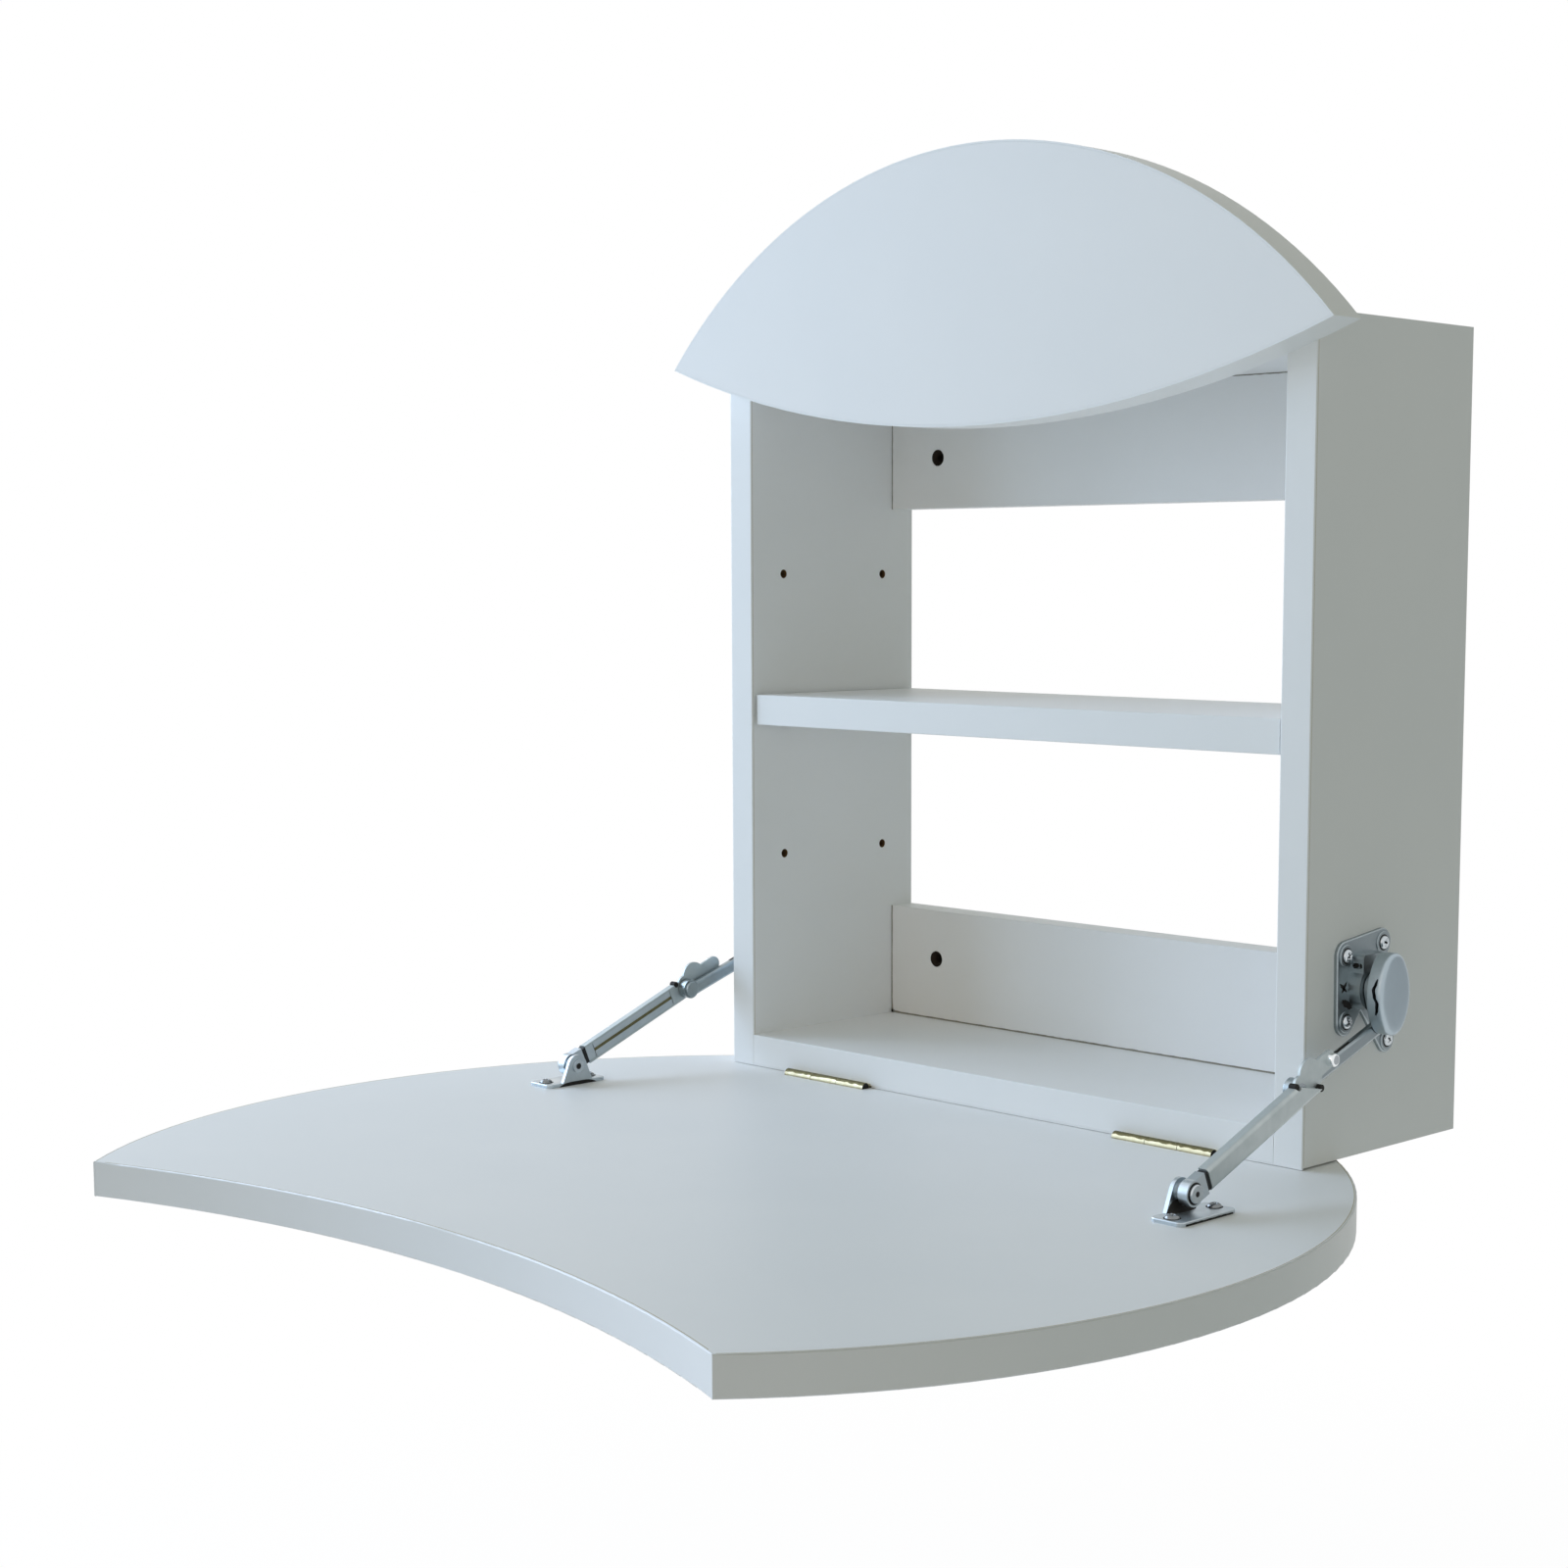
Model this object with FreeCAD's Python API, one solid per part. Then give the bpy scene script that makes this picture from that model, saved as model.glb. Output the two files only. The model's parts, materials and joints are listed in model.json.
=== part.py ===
import FreeCAD
import Part
import math
import os

# Fold-down wall desk in white board: a shallow cabinet, a lens-shaped header and a round drop leaf.
# Millimetres. X to the right, Y towards the wall (the wall is y = 0), Z up.
# The origin is the centre of the four wall-screw holes. The leaf is drawn open, as a desk.

# Boards
cabinet_width = 400.0
cabinet_height = 400.0
cabinet_depth = 130.0
board = 17.0
band = 1.0
band_round = 0.6
glue_line = 0.05
overrun = 1.0
fixed_fit = 0.03

# Back rails and wall screws
rail_height = 65.0
wall_pitch_x = 292.0
wall_pitch_z = 294.0
wall_hole_r = 3.0
wall_sink_r = 5.0
wall_sink_depth = 2.5

# Shelf and shelf pins
shelf_end_gap = 2.0
shelf_setback = 2.0
pin_r = 2.5
pin_in_side = 10.0
pin_in_shelf = 9.0
pin_slack = 1.0
pin_inset = 25.0
pin_row_pitch = 80.0
pin_groove_height = 7.5
pin_clearance = 0.05

# Dowels and cam fittings of the board joints
dowel_r = 4.0
dowel_in_side = 10.0
dowel_in_end = 22.0
dowel_slack = 1.0
dowel_inset = 28.0
rail_dowel_pitch = 40.0
cam_r = 7.5
cam_height = 12.0
cam_from_end = 24.0
cam_slot_width = 2.0
cam_slot_depth = 1.5
bolt_r = 2.5
bolt_thread_r = 3.0
bolt_in_side = 11.0
bolt_tip_past_cam = 1.5

# Header dowels
header_dowel_in_header = 13.0
header_dowel_in_board = 20.0
header_dowel_pitch = 130.0

# Disc that the header and the leaf make together
disc_r = 300.0
disc_drop = 6.5
split_r = 648.0
split_low_z = 154.0
reveal = 4.0

# Butt hinges
hinge_end_margin = 32.5
hinge_length = 62.0
hinge_plate_width = 25.5
hinge_plate = 1.2
knuckle_r = 2.75
knuckle_gap = 0.3
knuckle_room = 0.4
hinge_pin_r = 1.4
hinge_run = 0.05
hinge_pin_forward = 3.5
leaf_gap = 1.0
hinge_screw_pitch = 23.0
hinge_screw_back = 16.0
hinge_screw_r = 1.5
hinge_screw_head_r = 2.9
hinge_screw_length = 13.0

# Stay levels, outwards from the side panel
stay_plate = 2.0
stay_body = 7.1
running_gap = 0.4
crank_thick = 4.5
arm_gap = 0.5
arm_depth = 5.5
cap_height = 8.0

# Stay pivots, from the cabinet's lower front edge
axle_back = 42.0
axle_up = 83.0
eye_up = 9.4
crank_length = 77.0
arm_length = 90.0
elbow_bend_deg = 9.0

# Stay base and damper; the plate's screws are placed from the axle, as shares of the cap's half height
plate_corner_r = 7.0
plate_round = 0.7
boss_r = 5.4
boss = 0.6
boss_round = 0.4
lobe_half = 6.5
upper_back_shares = (0.912, 0.988)
upper_front_shares = (-0.624, 0.806)
lower_front_shares = (-0.595, -0.806)
lower_back_shares = (1.161, -1.439)
neck_r = 11.0
block_front = 8.0
block_back = 10.0
block_high = 16.4
block_low = 6.4
block_corner = 2.0
oval_up = 11.0
oval_length = 5.6
oval_height = 2.6
oval_depth = 1.6
axle_r = 4.5
axle_foot = 0.5
axle_run = 0.05
cap_half_wide = 12.6
cap_half_tall = 19.8
cap_end_r = 9.0
cap_drop = 1.8
cap_wall = 1.6
cap_roof = 2.6
cap_edge = 2.0
cell_room = 1.2
slit_high = 7.6
slit_low = 9.6
slit_width = 2.0
slit_up = 2.7

# Crank
crank_hub_r = 8.0
crank_offset = 17.7
elbow_offset = 1.5
crank_half = 3.6
crank_eye_r = 5.4
crank_round = 1.6
rivet_r = 3.0
rivet_head_r = 4.4
rivet_head = 1.4

# Long arm
arm_half = 5.4
arm_wall = 1.2
arm_web = 1.4
arm_round = 2.0
arm_start = 11.6
lug = 1.4
lug_back = 11.5
lug_r = 8.0
lug_along = 8.3
lug_up = 3.5
notch_r = 1.7
upper_end_back = 5.5
lower_end_on = 11.5
end_wall = 2.2
stud_from_elbow = 24.4
stud_up = 2.8
stud_land = 1.2
stud_r = 3.2
stud_height = 4.0
stud_round = 1.2
elbow_pin_r = 3.5
eye_r = 6.0
collar_end = 9.0
tongue_end = 17.0
tongue_clearance = 0.1
eye_inset = 0.2

# Leaf bracket and its pin
bracket_inner = 10.0
bracket_plate = 2.0
bracket_width = 18.0
bracket_front = 20.0
bracket_back = 20.0
bracket_corner = 3.0
bracket_round = 0.5
ear_r = 6.2
ear_foot_half = 11.0
pivot_r = 2.5
pivot_run = 0.05
pivot_collar_r = 4.0
pivot_head_r = 4.3
pivot_head = 1.3
pivot_tail_r = 3.6
pivot_tail = 1.0
pivot_end_gap = 0.15
bracket_screw_inset = 5.0

# Round-head wood screws of the stays
screw_head_r = 3.3
screw_head = 2.0
screw_head_round = 1.3
screw_r = 1.75
screw_length = 14.0

# Places worked out from the sizes above
V = FreeCAD.Vector
half_width = cabinet_width / 2
half_height = cabinet_height / 2
inner_half = half_width - board
inner_low = -half_height + board
inner_high = half_height - board
front = -cabinet_depth
core_front = front + band + glue_line
closed_gap = hinge_pin_forward + leaf_gap / 2
header_front = front - closed_gap - board
hinge_y = front - hinge_pin_forward
hinge_z = -half_height - leaf_gap / 2
leaf_top = -half_height - leaf_gap
disc_z = -disc_drop
split_z = split_low_z + split_r
shelf_low = pin_r + pin_clearance - pin_groove_height
axle_y = front + axle_back
axle_z = -half_height + axle_up
eye_z = -half_height + eye_up
open_span_squared = crank_length ** 2 + arm_length ** 2
open_span_squared += 2 * crank_length * arm_length * math.cos(math.radians(elbow_bend_deg))
eye_y = axle_y - math.sqrt(open_span_squared - (axle_z - eye_z) ** 2)
body_top = stay_plate + stay_body
crank_low = body_top + running_gap
crank_high = crank_low + crank_thick
arm_low = crank_high + arm_gap
arm_high = arm_low + arm_depth
web_low = arm_high - arm_web
lug_high = arm_low + lug
tongue_half = arm_half - arm_wall - tongue_clearance / 2
cap_start = crank_high + running_gap
cap_out = cap_start + cap_height
cap_ceiling = cap_out - cap_roof
plate_far = disc_z - reveal - hinge_z + hinge_plate_width
leaf_chord = math.sqrt((disc_r - band) ** 2 - plate_far ** 2)
hinge_offset_x = min(inner_half, leaf_chord) - hinge_length / 2 - hinge_end_margin


def box(x0, x1, y0, y1, z0, z1):
    return Part.makeBox(x1 - x0, y1 - y0, z1 - z0, V(x0, y0, z0))


def rod(start, axis, length, radius):
    return Part.makeCylinder(radius, length, start, axis)


def mirrored(shape):
    return shape.mirror(V(0, 0, 0), V(1, 0, 0))


def both_sides(shape):
    return [shape, mirrored(shape)]


def joined(shapes):
    return shapes[0].multiFuse(shapes[1:]).removeSplitter()


def fillet_level(solid, level, radius):
    edges = [e for e in solid.Edges if all(abs(v.Z - level) < fixed_fit for v in e.Vertexes)]
    return solid.makeFillet(radius, edges)


# Rounds the edges that pass the test given
def eased(solid, radius, test):
    return solid.makeFillet(radius, [e for e in solid.Edges if test(e)])


def long_edges(axis, level):
    def test(edge):
        ends = [v.Point for v in edge.Vertexes]
        on_level = all(abs(getattr(end, axis) - level) < fixed_fit for end in ends)
        return on_level and edge.Length > 2 * board
    return test


def rim_edges(radius):
    def test(edge):
        return isinstance(edge.Curve, Part.Circle) and abs(edge.Curve.Radius - radius) < fixed_fit
    return test


def save(name, shapes):
    solids = shapes if isinstance(shapes, list) else [shapes]
    body = solids[0] if len(solids) == 1 else Part.makeCompound(solids)
    body.exportStep("parts/" + name + ".step")


# Board joints: dowels and a cam fitting at each end of a panel, drawn at the right-hand end.
# The local X runs into the side panel, and the cam disc is let in from the local underside.
def dowel_pair(y, z):
    start = V(inner_half - dowel_in_end, y, z)
    length = dowel_in_end + dowel_in_side
    dowel = rod(start, V(1, 0, 0), length, dowel_r)
    slack = V(dowel_slack, 0, 0)
    hole = rod(start - slack, V(1, 0, 0), length + 2 * dowel_slack, dowel_r + fixed_fit)
    return dowel, hole


def cam_fitting(y, z, turn):
    reach = cam_from_end - cam_r + bolt_tip_past_cam
    thread = rod(V(0, 0, 0), V(1, 0, 0), bolt_in_side, bolt_thread_r)
    shank = rod(V(-reach, 0, 0), V(1, 0, 0), reach, bolt_r)
    bolt = joined([thread, shank])
    bolt_hole = joined([
        rod(V(0, 0, 0), V(1, 0, 0), bolt_in_side + dowel_slack, bolt_thread_r + fixed_fit),
        rod(V(-cam_from_end, 0, 0), V(1, 0, 0), cam_from_end, bolt_r + fixed_fit),
    ])
    low = -board / 2
    disc = rod(V(-cam_from_end, 0, low), V(0, 0, 1), cam_height, cam_r)
    drive = box(-cam_from_end - cam_r / 2, -cam_from_end + cam_r / 2, -cam_slot_width / 2, cam_slot_width / 2,
                low - overrun, low + cam_slot_depth)
    disc = disc.cut(bolt_hole).cut(drive)
    disc_hole = rod(V(-cam_from_end, 0, low - overrun), V(0, 0, 1), cam_height + overrun + fixed_fit,
                    cam_r + fixed_fit)
    pieces = []
    for shape in (bolt, disc, bolt_hole, disc_hole):
        shape.rotate(V(0, 0, 0), V(1, 0, 0), turn)
        shape.translate(V(inner_half, y, z))
        pieces.append(shape)
    return pieces


# One entry per panel: the dowels' places, the cam fitting's place and the way its disc faces
mid_depth = front / 2
rail_mid_y = -board / 2
rail_mid_z = inner_high - rail_height / 2
panel_mid_z = half_height - board / 2
dowel_rows_y = (front + dowel_inset, -dowel_inset)
rail_rows = (rail_dowel_pitch / 2, -rail_dowel_pitch / 2)
end_joints = {
    "bottom_panel": ([(y, -panel_mid_z) for y in dowel_rows_y], (mid_depth, -panel_mid_z, 0)),
    "top_panel": ([(y, panel_mid_z) for y in dowel_rows_y], (mid_depth, panel_mid_z, 180)),
    "lower_rail": ([(rail_mid_y, -rail_mid_z + dz) for dz in rail_rows], (rail_mid_y, -rail_mid_z, 90)),
    "upper_rail": ([(rail_mid_y, rail_mid_z + dz) for dz in rail_rows], (rail_mid_y, rail_mid_z, 90)),
}
dowels, cam_bolts, cam_discs, joint_holes = [], [], [], {}
for panel, (dowel_places, cam_place) in end_joints.items():
    joint_holes[panel] = []
    for place in dowel_places:
        dowel, hole = dowel_pair(*place)
        dowels += both_sides(dowel)
        joint_holes[panel].append(hole)
    bolt, disc, bolt_hole, disc_hole = cam_fitting(*cam_place)
    cam_bolts += both_sides(bolt)
    cam_discs += both_sides(disc)
    joint_holes[panel] += [bolt_hole, disc_hole]
side_joint_holes = [hole for holes in joint_holes.values() for hole in holes[:-1]]


# Header dowels, along Y: two in the top panel on each side of the middle, one in each side panel
header_dowel_x = [header_dowel_pitch / 2, header_dowel_pitch, half_width - board / 2]
header_dowels, header_holes = [], []
for x in header_dowel_x:
    start = V(x, front - header_dowel_in_header, panel_mid_z)
    length = header_dowel_in_header + header_dowel_in_board
    slack = V(0, dowel_slack, 0)
    header_dowels += both_sides(rod(start, V(0, 1, 0), length, dowel_r))
    header_holes.append(rod(start - slack, V(0, 1, 0), length + 2 * dowel_slack, dowel_r + fixed_fit))
top_header_holes = [cut for hole in header_holes[:-1] for cut in both_sides(hole)]
side_header_hole = header_holes[-1]


# Shelf pins and their holes, on the right
pin_rows_y = (front + pin_inset, -pin_inset)
shelf_pins, pin_holes, pin_grooves = [], [], []
for y in pin_rows_y:
    pin_length = pin_in_side + pin_in_shelf
    shelf_pins += both_sides(rod(V(inner_half - pin_in_shelf, y, 0), V(1, 0, 0), pin_length, pin_r))
    groove_half = pin_r + pin_clearance
    groove = box(inner_half - pin_in_shelf - pin_slack, inner_half, y - groove_half, y + groove_half,
                 shelf_low - overrun, groove_half)
    pin_grooves += both_sides(groove)
    for row in (-pin_row_pitch, 0, pin_row_pitch):
        hole = rod(V(inner_half - overrun, y, row), V(1, 0, 0), pin_in_side + pin_slack + overrun,
                   pin_r + fixed_fit)
        pin_holes.append(hole)


# Stay pieces are drawn flat: u along the piece, v across it, w outwards from the side panel.
# stand() turns a flat piece to its angle in the YZ plane and sets it at its pivot.
def stand(shape, y, z, angle):
    c = math.cos(angle)
    s = math.sin(angle)
    turned = FreeCAD.Placement(FreeCAD.Matrix(0, 0, 1, half_width, c, -s, 0, y, s, c, 0, z))
    placed = shape.copy()
    placed.Placement = turned.multiply(shape.Placement)
    return placed


def flat_rod(u, v, low, high, radius):
    return rod(V(u, v, low), V(0, 0, 1), high - low, radius)


def prism(wire, low, high):
    face = Part.Face(wire)
    face.translate(V(0, 0, low))
    return face.extrude(V(0, 0, high - low))


def rounded_plate(points, radius, low, high):
    outline = Part.makePolygon([V(u, v, 0) for u, v in points] + [V(*points[0], 0)])
    plate = Part.Face(outline).makeOffset2D(radius)
    plate.translate(V(0, 0, low))
    return plate.extrude(V(0, 0, high - low))


def stadium(u0, u1, half, low, high):
    arcs = [
        Part.Arc(V(u0, half, 0), V(u0 - half, 0, 0), V(u0, -half, 0)),
        Part.LineSegment(V(u0, -half, 0), V(u1, -half, 0)),
        Part.Arc(V(u1, -half, 0), V(u1 + half, 0, 0), V(u1, half, 0)),
        Part.LineSegment(V(u1, half, 0), V(u0, half, 0)),
    ]
    return prism(Part.Wire([a.toShape() for a in arcs]), low, high)


# Angles of the stay's two arms: open, where the photograph shows them, and with the leaf closed
def arm_angles(eye_at_y, eye_at_z):
    dy = eye_at_y - axle_y
    dz = eye_at_z - axle_z
    span = math.hypot(dy, dz)
    cosine = (crank_length ** 2 + span ** 2 - arm_length ** 2) / (2 * crank_length * span)
    crank = math.remainder(math.atan2(dz, dy) + math.acos(cosine), math.tau)
    elbow_y = axle_y + crank_length * math.cos(crank)
    elbow_z = axle_z + crank_length * math.sin(crank)
    arm = math.atan2(elbow_z - eye_at_z, elbow_y - eye_at_y)
    return crank, arm


crank_open, arm_open = arm_angles(eye_y, eye_z)
closed_eye_y = hinge_y + eye_z - hinge_z
closed_eye_z = hinge_z - eye_y + hinge_y
crank_closed, arm_closed = arm_angles(closed_eye_y, closed_eye_z)
crank_open_deg = math.degrees(crank_open)
crank_closed_deg = math.degrees(crank_closed)
arm_open_deg = math.degrees(arm_open)
arm_closed_deg = math.degrees(arm_closed)


# Round-head screw along -w, its head standing on the level given
def round_screw(u, v, level):
    head = flat_rod(u, v, level, level + screw_head, screw_head_r)
    head = fillet_level(head, level + screw_head, screw_head_round)
    shank = flat_rod(u, v, level - screw_length, level, screw_r)
    hole = flat_rod(u, v, level - screw_length - fixed_fit, level, screw_r + fixed_fit)
    return joined([head, shank]), hole


# Stay base: a die-cast plate with a lobe for its lowest screw, a neck round the axle and a squared body
def by_cap(shares):
    return shares[0] * cap_half_tall, shares[1] * cap_half_tall


lobe_place = by_cap(lower_back_shares)
plate_places = [by_cap(upper_back_shares), by_cap(upper_front_shares), by_cap(lower_front_shares)]
stay_screws, stay_screw_holes, bosses = [], [], []
for u, v in plate_places + [lobe_place]:
    screw, hole = round_screw(u, v, stay_plate + boss)
    stay_screws.append(screw)
    stay_screw_holes.append(hole)
    screw_boss = flat_rod(u, v, 0, stay_plate + boss, boss_r)
    bosses.append(fillet_level(screw_boss, stay_plate + boss, boss_round))
lobe = stadium(0, math.hypot(*lobe_place), lobe_half, 0, stay_plate)
lobe = fillet_level(lobe, stay_plate, plate_round)
lobe.rotate(V(0, 0, 0), V(0, 0, 1), math.degrees(math.atan2(lobe_place[1], lobe_place[0])))
block = box(-block_front, block_back, -block_low, block_high, 0, body_top)
block_edges = [e for e in block.Edges if e.Vertexes[0].X < 0 and e.Vertexes[1].X < 0 and e.Length > stay_body]
block_edges = [e for e in block_edges if abs(e.Vertexes[0].Z - e.Vertexes[1].Z) > stay_body]
block = block.makeFillet(block_corner, block_edges)
oval = stadium(-(oval_length - oval_height) / 2, (oval_length - oval_height) / 2, oval_height / 2, 0,
               oval_depth + overrun)
oval.rotate(V(0, 0, 0), V(0, 1, 0), 90)
oval.translate(V(-block_front - overrun, oval_up, (stay_plate + body_top) / 2))
base_plate = fillet_level(rounded_plate(plate_places, plate_corner_r, 0, stay_plate), stay_plate, plate_round)
stay_base = joined([base_plate, lobe, flat_rod(0, 0, 0, body_top, neck_r), block] + bosses)
stay_base = stay_base.cut(Part.makeCompound(stay_screw_holes)).cut(oval)
stay_base = stay_base.cut(flat_rod(0, 0, axle_foot, body_top + overrun, axle_r + fixed_fit))
stay_axle = flat_rod(0, 0, axle_foot, cap_ceiling, axle_r)

# Damper cell and its cap: an oval shell, drawn in four arcs, with a slit in its front wall
def cap_oval(inset, low, high):
    wide = cap_half_wide - inset
    tall = cap_half_tall - inset
    end_r = cap_end_r - inset
    end_up = cap_half_tall - cap_end_r
    side_r = (wide ** 2 + end_up ** 2 - end_r ** 2) / (2 * (wide - end_r))
    corner_u = end_r * (side_r - wide) / (side_r - end_r)
    corner_v = end_up + end_r * end_up / (side_r - end_r)
    arcs = [
        Part.Arc(V(corner_u, -corner_v, 0), V(wide, 0, 0), V(corner_u, corner_v, 0)),
        Part.Arc(V(corner_u, corner_v, 0), V(0, tall, 0), V(-corner_u, corner_v, 0)),
        Part.Arc(V(-corner_u, corner_v, 0), V(-wide, 0, 0), V(-corner_u, -corner_v, 0)),
        Part.Arc(V(-corner_u, -corner_v, 0), V(0, -tall, 0), V(corner_u, -corner_v, 0)),
    ]
    shape = prism(Part.Wire([a.toShape() for a in arcs]), low, high)
    shape.translate(V(0, -cap_drop, 0))
    return shape


damper_cell = cap_oval(cap_wall + cell_room, cap_start, cap_ceiling)
damper_cell = damper_cell.cut(flat_rod(0, 0, crank_high, cap_out, axle_r + fixed_fit))
damper_cap = fillet_level(cap_oval(0, cap_start, cap_out), cap_out, cap_edge)
damper_cap = damper_cap.cut(cap_oval(cap_wall, cap_start - overrun, cap_ceiling))
slit_start = cap_start + slit_up
wall_slit = box(-cap_half_wide - overrun, -cap_half_wide / 2, -cap_drop - slit_low, slit_high - cap_drop,
                slit_start, slit_start + slit_width)
damper_cap = damper_cap.cut(wall_slit.cut(cap_oval(cap_wall + overrun, cap_start, cap_out)))

# Crank: a hub under the cap, a web from it to a rounded bar, and half of the elbow's rivet
lean = math.asin((crank_offset - elbow_offset) / crank_length)
crank_bar = stadium(0, crank_length * math.cos(lean), crank_half, crank_low, crank_high)
crank_bar = fillet_level(crank_bar, crank_high, crank_round)
crank_bar = fillet_level(crank_bar, crank_low, crank_round)
crank_bar.translate(V(0, -elbow_offset, 0))
crank_bar.rotate(V(0, 0, 0), V(0, 0, 1), 180 - math.degrees(lean))
crank_bar.translate(V(crank_length, 0, 0))
crank_hub = flat_rod(0, 0, crank_low, crank_high, crank_hub_r)
crank_eye = flat_rod(crank_length, 0, crank_low, crank_high, crank_eye_r)
crank_web = stadium(0, crank_offset + crank_half - crank_hub_r, crank_hub_r, crank_low, crank_high)
crank_web.rotate(V(0, 0, 0), V(0, 0, 1), 90 - math.degrees(lean))
crank_arm = joined([crank_hub, crank_web, crank_bar, crank_eye])
crank_arm = crank_arm.cut(flat_rod(0, 0, crank_low - overrun, crank_high + overrun, axle_r + axle_run))
crank_arm = crank_arm.cut(flat_rod(crank_length, 0, crank_low - overrun, crank_high + overrun,
                                   rivet_r + fixed_fit))
elbow_rivet = joined([
    flat_rod(crank_length, 0, crank_low, crank_high, rivet_r),
    fillet_level(flat_rod(crank_length, 0, crank_low - rivet_head, crank_low, rivet_head_r),
                 crank_low - rivet_head, rivet_head / 2),
])

# Long arm: a channel, open towards the cabinet, that steps down at a slanted end to a flat lug.
# The lug lies against the crank at the elbow and carries a stud at its tip; notches relieve the step.
upper_end = arm_length - upper_end_back
lower_end = arm_length + lower_end_on
arm_tip = lower_end + arm_half
past_tip = arm_tip + overrun
across = arm_half + overrun
slant = (lower_end - upper_end) / (2 * arm_half)


def past_step(back, low, high):
    corners = [
        V(upper_end - back - slant * overrun, across, 0),
        V(lower_end - back + slant * overrun, -across, 0),
        V(past_tip, -across, 0),
        V(past_tip, across, 0),
    ]
    return prism(Part.makePolygon(corners + corners[:1]), low, high)


lug_start = arm_length - lug_back
inner_half_width = arm_half - arm_wall
arm_shell = stadium(0, lower_end, arm_half, arm_low, arm_high)
arm_shell = fillet_level(arm_shell, arm_high, arm_round)
open_hollow = box(-across, lug_start, -inner_half_width, inner_half_width, arm_low - overrun, web_low)
shut_hollow = box(lug_start - overrun, past_tip, -inner_half_width, inner_half_width, lug_high, web_low)
shut_hollow = shut_hollow.cut(past_step(end_wall, arm_low, arm_high))
foot_cut = box(-across, arm_start, -across, across, arm_low - overrun, arm_high + overrun)
arm_shell = arm_shell.cut(open_hollow).cut(shut_hollow).cut(foot_cut)
arm_shell = arm_shell.cut(past_step(0, lug_high, arm_high + overrun))
stud_place = (arm_length + stud_from_elbow, stud_up)
lug_round = flat_rod(arm_length + lug_along, lug_up, arm_low, lug_high, lug_r)
lug_tip = stadium(arm_length, stud_place[0], stud_r + stud_land, arm_low, lug_high)
lug_tip.translate(V(0, stud_up, 0))
long_arm = joined([arm_shell, lug_round, lug_tip])
for u, v in ((upper_end, arm_half), (lower_end, -arm_half)):
    long_arm = long_arm.cut(flat_rod(u, v, arm_low - overrun, arm_high + overrun, notch_r))
elbow_hole = flat_rod(arm_length, 0, arm_low - overrun, lug_high + overrun, elbow_pin_r + fixed_fit)
long_arm = long_arm.cut(elbow_hole)
stop_stud = flat_rod(*stud_place, lug_high, lug_high + stud_height, stud_r)
stop_stud = fillet_level(stop_stud, lug_high + stud_height, stud_round)
elbow_pin = flat_rod(arm_length, 0, arm_low, lug_high, elbow_pin_r)
eye_low = arm_low + eye_inset
eye_high = arm_high - eye_inset
tongue_high = web_low - tongue_clearance / 2
arm_eye = joined([
    flat_rod(0, 0, eye_low, eye_high, eye_r),
    box(0, collar_end, -arm_half, arm_half, eye_low, eye_high),
    box(0, tongue_end, -tongue_half, tongue_half, eye_low, tongue_high),
])
arm_eye = arm_eye.cut(flat_rod(0, 0, arm_low, arm_high, pivot_r + pivot_run))

# Leaf bracket: a folded plate with an upright ear on its inner edge, and the stepped pivot pin
bracket_foot = leaf_top - eye_z
bracket_top = bracket_foot + bracket_plate
ear_high = bracket_inner + bracket_plate
foot_reach = math.hypot(ear_foot_half, bracket_foot)
touch = math.atan2(bracket_foot, ear_foot_half) + math.acos(ear_r / foot_reach)
touch_u = ear_r * math.cos(touch)
touch_v = ear_r * math.sin(touch)
ear_lines = [
    Part.LineSegment(V(-ear_foot_half, bracket_foot, 0), V(ear_foot_half, bracket_foot, 0)),
    Part.LineSegment(V(ear_foot_half, bracket_foot, 0), V(touch_u, touch_v, 0)),
    Part.Arc(V(touch_u, touch_v, 0), V(0, ear_r, 0), V(-touch_u, touch_v, 0)),
    Part.LineSegment(V(-touch_u, touch_v, 0), V(-ear_foot_half, bracket_foot, 0)),
]
ear = prism(Part.Wire([e.toShape() for e in ear_lines]), bracket_inner, ear_high)
bracket_outer = bracket_inner + bracket_width
foot = box(-bracket_front, bracket_back, bracket_foot, bracket_top, bracket_inner, bracket_outer)
foot_corners = [e for e in foot.Edges if abs(e.Vertexes[0].Y - e.Vertexes[1].Y) > bracket_plate / 2]
foot = foot.makeFillet(bracket_corner, foot_corners)
foot = eased(foot, bracket_round, lambda e: all(abs(v.Y - bracket_top) < fixed_fit for v in e.Vertexes))
bracket_screw_w = bracket_inner + bracket_width / 2
bracket_screw_u = (-bracket_front + bracket_screw_inset, bracket_back - bracket_screw_inset)
bracket_screws, bracket_screw_holes = [], []
for u in bracket_screw_u:
    screw, hole = round_screw(0, 0, 0)
    for shape in (screw, hole):
        shape.rotate(V(0, 0, 0), V(1, 0, 0), -90)
        shape.translate(V(u, bracket_top, bracket_screw_w))
    bracket_screws.append(screw)
    bracket_screw_holes.append(hole)
leaf_bracket = joined([foot, ear]).cut(Part.makeCompound(bracket_screw_holes))
pivot_hole = flat_rod(0, 0, bracket_inner - overrun, ear_high + overrun, pivot_r + fixed_fit)
leaf_bracket = leaf_bracket.cut(pivot_hole)
pivot_head_low = eye_high + pivot_end_gap
pivot_pin = joined([
    flat_rod(0, 0, bracket_inner - pivot_tail, bracket_inner, pivot_tail_r),
    flat_rod(0, 0, bracket_inner, pivot_head_low, pivot_r),
    flat_rod(0, 0, ear_high, eye_low - pivot_end_gap, pivot_collar_r),
    fillet_level(flat_rod(0, 0, pivot_head_low, pivot_head_low + pivot_head, pivot_head_r),
                 pivot_head_low + pivot_head, pivot_head / 2),
])

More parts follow.
